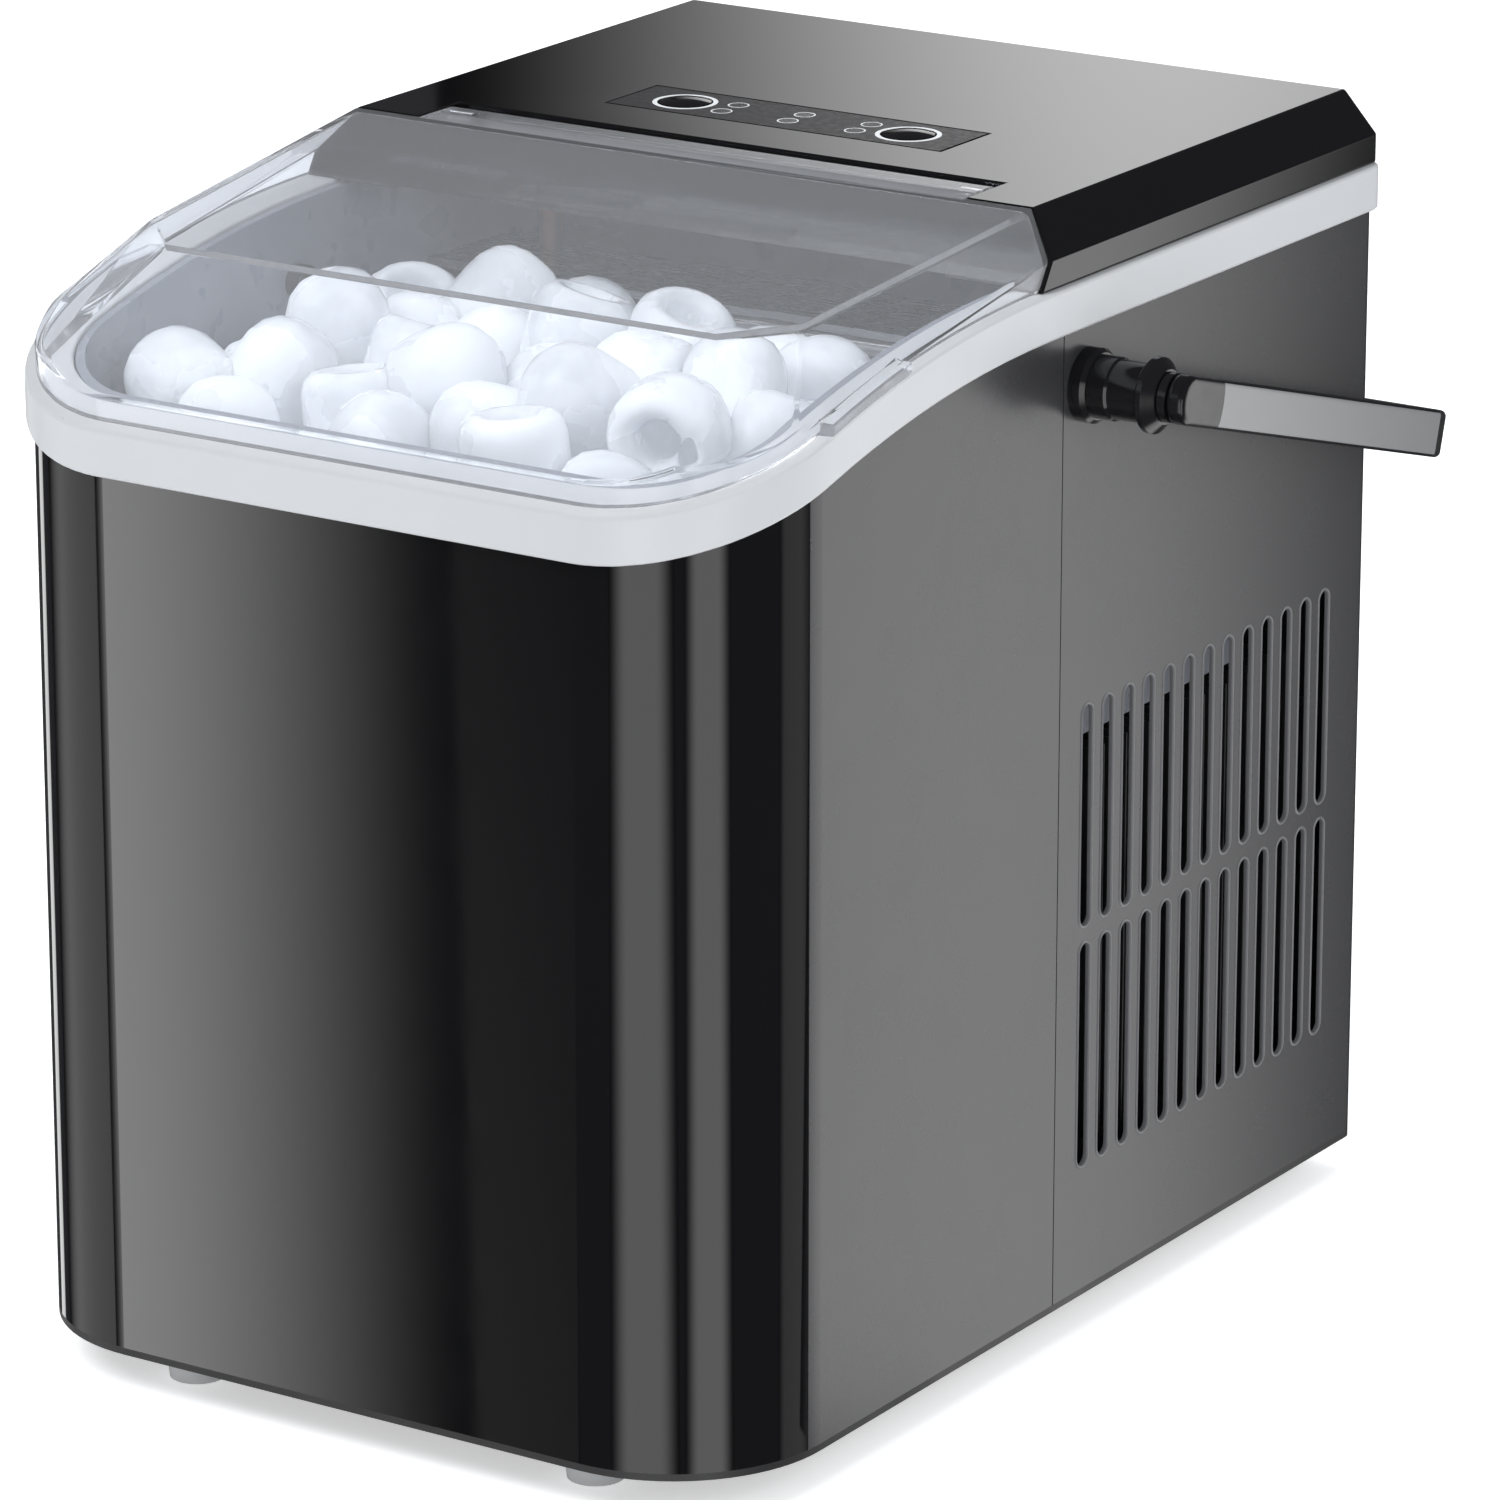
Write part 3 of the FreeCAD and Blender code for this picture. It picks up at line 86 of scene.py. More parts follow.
# ------------------------------------------------------------------ finishes
@dataclass(frozen=True)
class Finish:
    """A moulded, painted or metal surface with fine grain, mottling and wear in its gloss."""

    name: str
    colour: Rgb
    roughness: float = 0.4
    metallic: float = 0.0
    specular: float = 0.5
    coat: float = 0.0
    mottle: float = 0.08
    mottle_scale: float = 14.0
    rough_swing: float = 0.05
    grain_scale: float = 900.0
    grain_depth: float = 0.06
    stretch: Rgb = (1.0, 1.0, 1.0)

    def material(self) -> bpy.types.Material:
        """Returns the finish's material, made once."""
        found = bpy.data.materials.get(self.name)
        if found is not None:
            return found
        material, tree, shader, _ = new_material(self.name)
        shader.inputs["Metallic"].default_value = self.metallic
        shader.inputs["Specular IOR Level"].default_value = self.specular
        shader.inputs["Coat Weight"].default_value = self.coat
        shader.inputs["Coat Roughness"].default_value = COAT_ROUGHNESS
        place = mapped_position(tree, self.stretch)
        broad = noise(tree, place, self.mottle_scale, 3.0)
        dark = tuple(c * (1.0 - self.mottle) for c in self.colour)
        light = tuple(min(1.0, c * (1.0 + self.mottle)) for c in self.colour)
        tint = mix_colour(tree, broad, dark, light)
        tree.links.new(tint, shader.inputs["Base Color"])
        fine = noise(tree, place, self.mottle_scale * 5.0, 4.0)
        low = max(0.01, self.roughness - self.rough_swing)
        span = map_range(tree, fine, *NOISE_RANGE, low, self.roughness + self.rough_swing)
        tree.links.new(span, shader.inputs["Roughness"])
        grain = noise(tree, place, self.grain_scale, 2.0)
        tree.links.new(bump(tree, grain, self.grain_depth, GRAIN_HEIGHT), shader.inputs["Normal"])
        return material


@dataclass(frozen=True)
class ClearPlastic:
    """Clear moulded plastic that lets lamps through, with painted shade where its surface turns edge-on to
    the view.
    """

    name: str
    tint: Rgb
    roughness: float = 0.004
    ior: float = 1.4
    shadow_tint: float = 0.9
    rim_shade: float = 0.5
    clarity: float = 1.0

    def material(self) -> bpy.types.Material:
        """Returns the clear material, made once."""
        found = bpy.data.materials.get(self.name)
        if found is not None:
            return found
        material, tree, shader, output = new_material(self.name)
        # painted shade: the base colour darkens by rim_shade where the surface turns edge-on to the view,
        # standing in for the dark lines refraction draws along rims and creases
        rim = tree.nodes.new("ShaderNodeLayerWeight")
        rim.inputs["Blend"].default_value = 0.5
        steep = map_range(tree, rim.outputs["Facing"], 0.9, 1.0, 0.0, 1.0)
        dark = tuple(c * self.rim_shade for c in self.tint)
        tree.links.new(mix_colour(tree, steep, self.tint, dark), shader.inputs["Base Color"])
        shader.inputs["Transmission Weight"].default_value = self.clarity
        shader.inputs["IOR"].default_value = self.ior
        place = mapped_position(tree, (1.0, 1.0, 1.0))
        smudge = noise(tree, place, 18.0, 4.0)
        tree.links.new(map_range(tree, smudge, 0.4, 0.8, self.roughness, self.roughness * 3.0),
                       shader.inputs["Roughness"])
        path = tree.nodes.new("ShaderNodeLightPath")
        clear = tree.nodes.new("ShaderNodeBsdfTransparent")
        clear.inputs["Color"].default_value = (self.shadow_tint, self.shadow_tint, self.shadow_tint, 1.0)
        mixer = tree.nodes.new("ShaderNodeMixShader")
        tree.links.new(path.outputs["Is Shadow Ray"], mixer.inputs["Fac"])
        tree.links.new(shader.outputs["BSDF"], mixer.inputs[1])
        tree.links.new(clear.outputs["BSDF"], mixer.inputs[2])
        tree.links.new(mixer.outputs["Shader"], output.inputs["Surface"])
        return material


@dataclass(frozen=True)
class FrostedIce:
    """Milky ice with a wet surface and a faint painted glow where it faces the view."""

    name: str = "frosted_ice"
    cloudy: Rgb = (0.68, 0.71, 0.76)
    clear: Rgb = (0.86, 0.88, 0.9)
    scatter: Rgb = (0.006, 0.007, 0.008)
    scatter_share: float = 0.35
    ior: float = 1.31

    def material(self) -> bpy.types.Material:
        """Returns the ice material, made once."""
        found = bpy.data.materials.get(self.name)
        if found is not None:
            return found
        material, tree, shader, _ = new_material(self.name)
        place = mapped_position(tree, (1.0, 1.0, 1.0))
        cloud = noise(tree, place, 45.0, 5.0)
        tint = mix_colour(tree, cloud, self.cloudy, self.clear)
        tree.links.new(tint, shader.inputs["Base Color"])
        shader.inputs["Subsurface Weight"].default_value = self.scatter_share
        shader.inputs["Subsurface Radius"].default_value = self.scatter
        shader.inputs["Subsurface Scale"].default_value = 1.0
        shader.inputs["IOR"].default_value = self.ior
        tree.links.new(map_range(tree, cloud, 0.35, 0.65, 0.12, 0.4), shader.inputs["Roughness"])
        tree.links.new(map_range(tree, cloud, 0.35, 0.6, 0.35, 0.05), shader.inputs["Transmission Weight"])
        melt = noise(tree, place, 160.0, 4.0)
        tree.links.new(bump(tree, melt, 0.25, 0.0008), shader.inputs["Normal"])
        # painted light: the ice emits a faint glow, strongest where it faces the view and fading out
        # towards its rims
        edge = tree.nodes.new("ShaderNodeLayerWeight")
        edge.inputs["Blend"].default_value = 0.35
        glow = map_range(tree, edge.outputs["Facing"], 0.0, 0.9, 0.12, 0.0)
        shader.inputs["Emission Color"].default_value = (0.95, 0.98, 1.0, 1.0)
        tree.links.new(glow, shader.inputs["Emission Strength"])
        return material


@dataclass(frozen=True)
class PrintedLabel:
    """Dark overlay with pale rings printed round the buttons and lamps."""

    name: str
    rings: tuple[tuple[float, float, float, float], ...]
    ground_dark: Rgb = (0.018, 0.018, 0.02)
    ground_light: Rgb = (0.035, 0.035, 0.038)
    ink: Rgb = (0.72, 0.74, 0.76)
    gloss: tuple[float, float] = (0.28, 0.4)

    def material(self) -> bpy.types.Material:
        """Returns the overlay's material, made once."""
        found = bpy.data.materials.get(self.name)
        if found is not None:
            return found
        material, tree, shader, _ = new_material(self.name)
        position = tree.nodes.new("ShaderNodeTexCoord").outputs["Object"]
        parts = tree.nodes.new("ShaderNodeSeparateXYZ")
        tree.links.new(position, parts.inputs[0])
        total = None
        for x, y, inner, outer in self.rings:
            mask = self.ring_mask(tree, parts, x, y, inner, outer)
            total = mask if total is None else math_node(tree, "MAXIMUM", total, mask)
        grain = noise(tree, position, 600.0, 3.0)
        ground = mix_colour(tree, grain, self.ground_dark, self.ground_light)
        blend = tree.nodes.new("ShaderNodeMix")
        blend.data_type = "RGBA"
        tree.links.new(total, blend.inputs["Factor"])
        tree.links.new(ground, blend.inputs["A"])
        blend.inputs["B"].default_value = (*self.ink, 1.0)
        tree.links.new(blend.outputs["Result"], shader.inputs["Base Color"])
        tree.links.new(map_range(tree, grain, *NOISE_RANGE, *self.gloss), shader.inputs["Roughness"])
        shader.inputs["Specular IOR Level"].default_value = 0.2
        tree.links.new(bump(tree, grain, 0.05, GRAIN_HEIGHT), shader.inputs["Normal"])
        return material

    @staticmethod
    def ring_mask(tree: bpy.types.NodeTree, parts: bpy.types.Node, x: float, y: float, inner: float,
                  outer: float) -> bpy.types.NodeSocket:
        """Socket that is 1 on a printed ring and 0 elsewhere.

        Args:
            tree: The material's node tree.
            parts: The Separate XYZ node of the position.
            x: Ring centre across, in metres.
            y: Ring centre in depth, in metres.
            inner: Inner radius, in metres.
            outer: Outer radius, in metres.

        Returns:
            The mask's socket.
        """
        across = math_node(tree, "SUBTRACT", parts.outputs["X"], x)
        deep = math_node(tree, "SUBTRACT", parts.outputs["Y"], y)
        squares = math_node(tree, "ADD", math_node(tree, "MULTIPLY", across, across),
                            math_node(tree, "MULTIPLY", deep, deep))
        radius = math_node(tree, "SQRT", squares, 0.0)
        return math_node(tree, "MULTIPLY", math_node(tree, "GREATER_THAN", radius, inner),
                         math_node(tree, "LESS_THAN", radius, outer))


@dataclass(frozen=True)
class HandleArm:
    """Arm finish: satin grey on the flat faces, near-black painted shade on the edge faces, and gloss black
    round the pivot.
    """

    name: str
    pivot: tuple[float, float]
    nose: float
    face: Rgb = (0.2, 0.203, 0.208)
    edge: Rgb = (0.006, 0.006, 0.007)
    flatness: float = 0.85
    gloss: tuple[float, float] = (0.2, 0.26)

    def material(self) -> bpy.types.Material:
        """Returns the arm's material, made once."""
        found = bpy.data.materials.get(self.name)
        if found is not None:
            return found
        material, tree, shader, _ = new_material(self.name)
        coords = tree.nodes.new("ShaderNodeTexCoord")
        turned = tree.nodes.new("ShaderNodeSeparateXYZ")
        tree.links.new(coords.outputs["Normal"], turned.inputs[0])
        # painted shade: faces not turned sideways, the arm's edges, take the near-black edge colour
        flat = math_node(tree, "GREATER_THAN", math_node(tree, "ABSOLUTE", turned.outputs["X"], 0.0),
                         self.flatness)
        place = tree.nodes.new("ShaderNodeSeparateXYZ")
        tree.links.new(coords.outputs["Object"], place.inputs[0])
        deep = math_node(tree, "SUBTRACT", place.outputs["Y"], self.pivot[0])
        tall = math_node(tree, "SUBTRACT", place.outputs["Z"], self.pivot[1])
        squares = math_node(tree, "ADD", math_node(tree, "MULTIPLY", deep, deep),
                            math_node(tree, "MULTIPLY", tall, tall))
        past = math_node(tree, "GREATER_THAN", math_node(tree, "SQRT", squares, 0.0), self.nose)
        mask = math_node(tree, "MULTIPLY", flat, past)
        tree.links.new(mix_colour(tree, mask, self.edge, self.face), shader.inputs["Base Color"])
        fine = noise(tree, coords.outputs["Object"], 300.0, 3.0)
        tree.links.new(map_range(tree, fine, *NOISE_RANGE, *self.gloss), shader.inputs["Roughness"])
        tree.links.new(bump(tree, fine, 0.03, GRAIN_HEIGHT), shader.inputs["Normal"])
        return material


def new_material(name: str) -> tuple[bpy.types.Material, bpy.types.NodeTree, bpy.types.Node,
                                     bpy.types.Node]:
    """Makes an empty Principled material.

    Args:
        name: The material's name.

    Returns:
        The material, its tree, the Principled node and the output node.
    """
    material = bpy.data.materials.new(name)
    material.use_nodes = True
    tree = material.node_tree
    return material, tree, tree.nodes["Principled BSDF"], tree.nodes["Material Output"]


def mapped_position(tree: bpy.types.NodeTree, stretch: Rgb) -> bpy.types.NodeSocket:
    """Socket with the object position, stretched.

    Args:
        tree: The node tree.
        stretch: Scale along X, Y and Z.

    Returns:
        The vector socket.
    """
    place = tree.nodes.new("ShaderNodeMapping")
    place.inputs["Scale"].default_value = stretch
    tree.links.new(tree.nodes.new("ShaderNodeTexCoord").outputs["Object"], place.inputs["Vector"])
    return place.outputs["Vector"]


def noise(tree: bpy.types.NodeTree, vector: bpy.types.NodeSocket, scale: float,
          detail: float) -> bpy.types.NodeSocket:
    """Socket of a noise texture between 0 and 1.

    Args:
        tree: The node tree.
        vector: Where it is sampled.
        scale: Its fineness.
        detail: How many octaves it has.

    Returns:
        The value's socket.
    """
    node = tree.nodes.new("ShaderNodeTexNoise")
    node.inputs["Scale"].default_value = scale
    node.inputs["Detail"].default_value = detail
    tree.links.new(vector, node.inputs["Vector"])
    return node.outputs["Fac"]


def mix_colour(tree: bpy.types.NodeTree, factor: bpy.types.NodeSocket, first: Rgb,
               second: Rgb) -> bpy.types.NodeSocket:
    """Socket of a colour between two, by a factor socket.

    Args:
        tree: The node tree.
        factor: How far the colour is towards the second.
        first: Colour at 0.
        second: Colour at 1.

    Returns:
        The colour's socket.
    """
    node = tree.nodes.new("ShaderNodeMix")
    node.data_type = "RGBA"
    tree.links.new(factor, node.inputs["Factor"])
    node.inputs["A"].default_value = (*first, 1.0)
    node.inputs["B"].default_value = (*second, 1.0)
    return node.outputs["Result"]


def map_range(tree: bpy.types.NodeTree, value: bpy.types.NodeSocket, low: float, high: float, to_low: float,
              to_high: float) -> bpy.types.NodeSocket:
    """Socket of a value moved from one range to another.

    Args:
        tree: The node tree.
        value: The value's socket.
        low: Start of the range it comes from.
        high: End of the range it comes from.
        to_low: Start of the range it goes to.
        to_high: End of the range it goes to.

    Returns:
        The moved value's socket.
    """
    node = tree.nodes.new("ShaderNodeMapRange")
    tree.links.new(value, node.inputs["Value"])
    node.inputs["From Min"].default_value = low
    node.inputs["From Max"].default_value = high
    node.inputs["To Min"].default_value = to_low
    node.inputs["To Max"].default_value = to_high
    return node.outputs["Result"]


def bump(tree: bpy.types.NodeTree, height: bpy.types.NodeSocket, strength: float,
         distance: float) -> bpy.types.NodeSocket:
    """Socket of a normal bumped by a height socket.

    Args:
        tree: The node tree.
        height: The height's socket.
        strength: How strongly it shows, 0 to 1.
        distance: The height of the bumps, in metres.

    Returns:
        The normal's socket.
    """
    node = tree.nodes.new("ShaderNodeBump")
    node.inputs["Strength"].default_value = strength
    node.inputs["Distance"].default_value = distance
    tree.links.new(height, node.inputs["Height"])
    return node.outputs["Normal"]


def math_node(tree: bpy.types.NodeTree, operation: str, first: bpy.types.NodeSocket | float,
              second: bpy.types.NodeSocket | float) -> bpy.types.NodeSocket:
    """Socket of a sum of two sockets or numbers.

    Args:
        tree: The node tree.
        operation: The kind of sum.
        first: First socket or number.
        second: Second socket or number.

    Returns:
        The result's socket.
    """
    node = tree.nodes.new("ShaderNodeMath")
    node.operation = operation
    for i, value in enumerate((first, second)):
        if isinstance(value, (int, float)):
            node.inputs[i].default_value = value
        else:
            tree.links.new(value, node.inputs[i])
    return node.outputs[0]


AnyFinish = Finish | ClearPlastic | FrostedIce | PrintedLabel | HandleArm

GLOSS_BLACK = Finish("gloss_black_panel", (0.0045, 0.0045, 0.005), 0.035, mottle=0.1, rough_swing=0.012,
                     grain_scale=260.0, grain_depth=0.012)
COVER_BLACK = Finish("gloss_black_cover", (0.005, 0.005, 0.0055), 0.05, mottle=0.1, rough_swing=0.015,
                     grain_scale=300.0, grain_depth=0.015)
SATIN_SIDE = Finish("satin_side_panel", (0.032, 0.032, 0.034), 0.27, mottle=0.02, rough_swing=0.01,
                    grain_scale=1500.0, grain_depth=0.05)
TRIM_GREY = Finish("satin_trim", (0.5, 0.51, 0.525), 0.38, mottle=0.03, grain_scale=1200.0,
                   grain_depth=0.08)
LINER_GREY = Finish("chamber_liner", (0.22, 0.235, 0.27), 0.3, mottle=0.06, grain_scale=800.0,
                    grain_depth=0.05)
BASKET_GREY = Finish("basket_grey", (0.5, 0.53, 0.57), 0.3, mottle=0.05)
HANDLE_DARK = Finish("handle_grip_gloss", (0.02, 0.02, 0.021), 0.16, mottle=0.05, rough_swing=0.03,
                     grain_depth=0.03)
BOSS_BLACK = Finish("handle_boss_gloss", (0.008, 0.008, 0.009), 0.14, rough_swing=0.03, grain_depth=0.03)
BUTTON_BLACK = Finish("button_gloss", (0.006, 0.006, 0.007), 0.06, rough_swing=0.02, grain_depth=0.01)
FOOT_GREY = Finish("foot_rubber_finish", (0.5, 0.51, 0.52), 0.6, mottle=0.1)
BASE_METAL = Finish("base_pan_black", (0.02, 0.02, 0.021), 0.5)
BLACK_MOULDED = Finish("black_moulded", (0.022, 0.022, 0.023), 0.5)
WHITE_MOULDED = Finish("white_moulded", (0.3, 0.31, 0.33), 0.4)
STEEL = Finish("satin_steel", (0.56, 0.56, 0.57), 0.28, metallic=1.0, stretch=(1.0, 12.0, 12.0),
               grain_scale=300.0)
NICKEL = Finish("nickel_plate", (0.66, 0.65, 0.63), 0.14, metallic=1.0)
# copper hue with painted shade: darkened well below bare copper to stand for the dimness inside the housing
COPPER_IN_PAINTED_SHADE = Finish("bare_copper", (0.4, 0.2, 0.13), 0.4, metallic=1.0, mottle=0.2)
# painted shade: the aluminium fins are near black and not metal, standing for the dimness inside the vents
ALUMINIUM_IN_PAINTED_SHADE = Finish("fin_dark_coat", (0.02, 0.02, 0.021), 0.5)
RUBBER = Finish("black_rubber", (0.03, 0.03, 0.03), 0.7)
HOSE = Finish("silicone_hose", (0.62, 0.62, 0.58), 0.45)
FOAM = Finish("jacket_foam", (0.75, 0.7, 0.56), 0.9, mottle_scale=60.0, grain_depth=0.5)
BOARD = Finish("board_green", (0.02, 0.12, 0.05), 0.4)
COMPRESSOR_BLACK = Finish("compressor_paint", (0.015, 0.015, 0.016), 0.35)
VENT_RIM = Finish("vent_rim", (0.13, 0.13, 0.135), 0.35)
LID_CLEAR = ClearPlastic("clear_plastic", (0.93, 0.95, 0.99), ior=1.3, shadow_tint=0.98, clarity=0.91)
FLOOR_PAPER = Finish("floor_paper", (0.94, 0.94, 0.945), 0.9, specular=0.1, mottle=0.005, grain_depth=0.0)
LAMP_CLEAR = ClearPlastic("lamp_clear", (0.95, 0.96, 0.97), roughness=0.2)

NODE_FINISHES: dict[str, Finish | ClearPlastic] = {
    "front_wrap_panel": GLOSS_BLACK, "side_panel_left": SATIN_SIDE, "side_panel_right": SATIN_SIDE,
    "rear_shell": SATIN_SIDE, "base_pan": BASE_METAL, "power_button": BUTTON_BLACK,
    "select_button": BUTTON_BLACK, "control_board": BOARD, "control_switches": BLACK_MOULDED,
    "lamp_pipes": LAMP_CLEAR, "lid_pin_left": STEEL, "lid_pin_right": STEEL, "liner": LINER_GREY,
    "basket_rails": LINER_GREY, "insulation": FOAM, "ice_basket": BASKET_GREY, "evaporator": NICKEL,
    "evaporator_bracket": STEEL, "water_tray": WHITE_MOULDED, "tray_shaft": STEEL,
    "ice_shovel": WHITE_MOULDED, "tray_motor": BLACK_MOULDED, "tray_bush": WHITE_MOULDED,
    "ice_sensor_left": BLACK_MOULDED, "ice_sensor_right": BLACK_MOULDED,
    "compressor": COMPRESSOR_BLACK, "compressor_mounts": RUBBER, "condenser_fins": ALUMINIUM_IN_PAINTED_SHADE,
    "condenser_coil": COPPER_IN_PAINTED_SHADE, "fan_shroud": BLACK_MOULDED, "fan_rotor": BLACK_MOULDED,
    "fan_motor": BLACK_MOULDED, "suction_line": COPPER_IN_PAINTED_SHADE, "discharge_line": COPPER_IN_PAINTED_SHADE,
    "filter_drier": COPPER_IN_PAINTED_SHADE, "power_board": BOARD, "water_pump": BLACK_MOULDED, "water_hose": HOSE,
    "drain_plug": RUBBER, "cord_gland": BLACK_MOULDED, "rear_screws": STEEL,
}
NODE_FINISHES.update({f"foot_{end}_{side}": FOOT_GREY for end in ("front", "rear")
                      for side in ("left", "right")})
NODE_FINISHES.update({f"handle_{part}_{side}": BOSS_BLACK for part in ("boss", "ring", "hub")
                      for side in ("left", "right")})


# ------------------------------------------------------------------ mesh helpers
def dress(obj: bpy.types.Object, finish: "AnyFinish") -> None:
    """Gives an object one finish in all its slots.

    Args:
        obj: The object.
        finish: Its finish.
    """
    material = finish.material()
    if not obj.data.materials:
        obj.data.materials.append(material)
    for slot in obj.material_slots:
        slot.material = material


def add_object(name: str, bm: bmesh.types.BMesh, finish: "AnyFinish", body: str) -> bpy.types.Object:
    """Turns a bmesh into a dressed piece that rides on a body.

    Args:
        name: The piece's name.
        bm: Its geometry, in the row frame.
        finish: Its finish.
        body: The body it rides on.

    Returns:
        The new object.
    """
    mesh = bpy.data.meshes.new(name)
    bm.to_mesh(mesh)
    bm.free()
    for polygon in mesh.polygons:
        polygon.use_smooth = True
    obj = bpy.data.objects.new(name, mesh)
    bpy.context.scene.collection.objects.link(obj)
    dress(obj, finish)
    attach(obj, body)
    log.info("%s: %d faces on %s", name, len(mesh.polygons), body)
    return obj


@dataclass
class SoftenedNode:
    """A CAD node's shape with small rounds on its edges, which then stands for the node."""

    node: str
    finish: Finish | ClearPlastic
    slot: str
    radius: float
    segments: int = 3
    edge_angle: float = 28.0

    def build(self) -> bpy.types.Object:
        """Builds the softened piece on the node's own body."""
        source = frame["nodes"][self.node]
        bm = bmesh.new()
        bm.from_mesh(source.data)
        bmesh.ops.remove_doubles(bm, verts=bm.verts, dist=MERGE_DISTANCE)
        bmesh.ops.dissolve_limit(bm, angle_limit=math.radians(0.4), verts=bm.verts, edges=bm.edges)
        obj = add_object(self.node + "_soft", bm, self.finish, source["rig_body"])
        rounds = obj.modifiers.new("rounds", "BEVEL")
        rounds.width = self.radius
        rounds.segments = self.segments
        rounds.limit_method = "ANGLE"
        rounds.angle_limit = math.radians(self.edge_angle)
        rounds.use_clamp_overlap = False
        flats = obj.modifiers.new("flats", "WEIGHTED_NORMAL")
        flats.weight = 80
        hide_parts(self.node)
        return obj


# ------------------------------------------------------------------ sub-assemblies
@dataclass
class VentRims:
    """Thin bevelled lips round the rear shell's air slots."""

    columns: int = 13
    pitch: float = 9.8 * MM
    first: float = 13.1 * MM
    slot_width: float = 5.3 * MM
    rows: tuple[tuple[float, float], ...] = ((44.0 * MM, 102.2 * MM), (106.7 * MM, 163.4 * MM))
    segments: int = 20
    profile: tuple[tuple[float, float], ...] = (
        (0.65, 0.02), (0.35, 0.28), (0.02, 0.22), (-0.12, -0.3), (-0.12, -1.1))

    def lip(self, bm: bmesh.types.BMesh, side: Side, y: float, low: float, high: float) -> None:
        """Adds the lip of one slot.

        Args:
            bm: Mesh that takes the lip.
            side: Which side of the machine.
            y: The slot's middle in depth.
            low: The slot's lower end.
            high: The slot's upper end.
        """
        wall = side.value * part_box("rear_shell")[1].x
        radius = self.slot_width / 2
        ring = bmesh.ops.create_circle(bm, segments=self.segments, radius=1.0, cap_ends=False)["verts"]
        turn = Matrix.Rotation(math.radians(90.0), 3, "Y")
        edges = list({edge for vert in ring for edge in vert.link_edges})
        units = {vert: turn @ vert.co for vert in ring}
        loop = ring
        for step, (out, proud) in enumerate(self.profile):
            if step:
                made = bmesh.ops.extrude_edge_only(bm, edges=edges)["geom"]
                edges = [item for item in made if isinstance(item, bmesh.types.BMEdge)
                         and all(v in made for v in item.verts)]
                new = [item for item in made if isinstance(item, bmesh.types.BMVert)]
                pairs = {}
                for vert in new:
                    old = next(e.other_vert(vert) for e in vert.link_edges if e.other_vert(vert) in units)
                    pairs[vert] = units[old]
                units = pairs
                loop = new
                edges = list({e for v in new for e in v.link_edges if e.other_vert(v) in pairs})
            for vert in loop:
                unit = units[vert]
                centre = high - radius if unit.z > 1e-6 else low + radius
                reach = radius + out * MM
                across = wall + side.value * proud * MM
                vert.co = Vector((across, y + unit.y * reach, centre + unit.z * reach))

    def build(self) -> None:
        """Builds the lips of both sides."""
        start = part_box("rear_shell")[0].y + self.first
        for side in Side:
            bm = bmesh.new()
            for column in range(self.columns):
                for low, high in self.rows:
                    self.lip(bm, side, start + column * self.pitch, low, high)
            bmesh.ops.recalc_face_normals(bm, faces=bm.faces)
            add_object(f"vent_rims_{side.name.lower()}", bm, VENT_RIM, "housing")


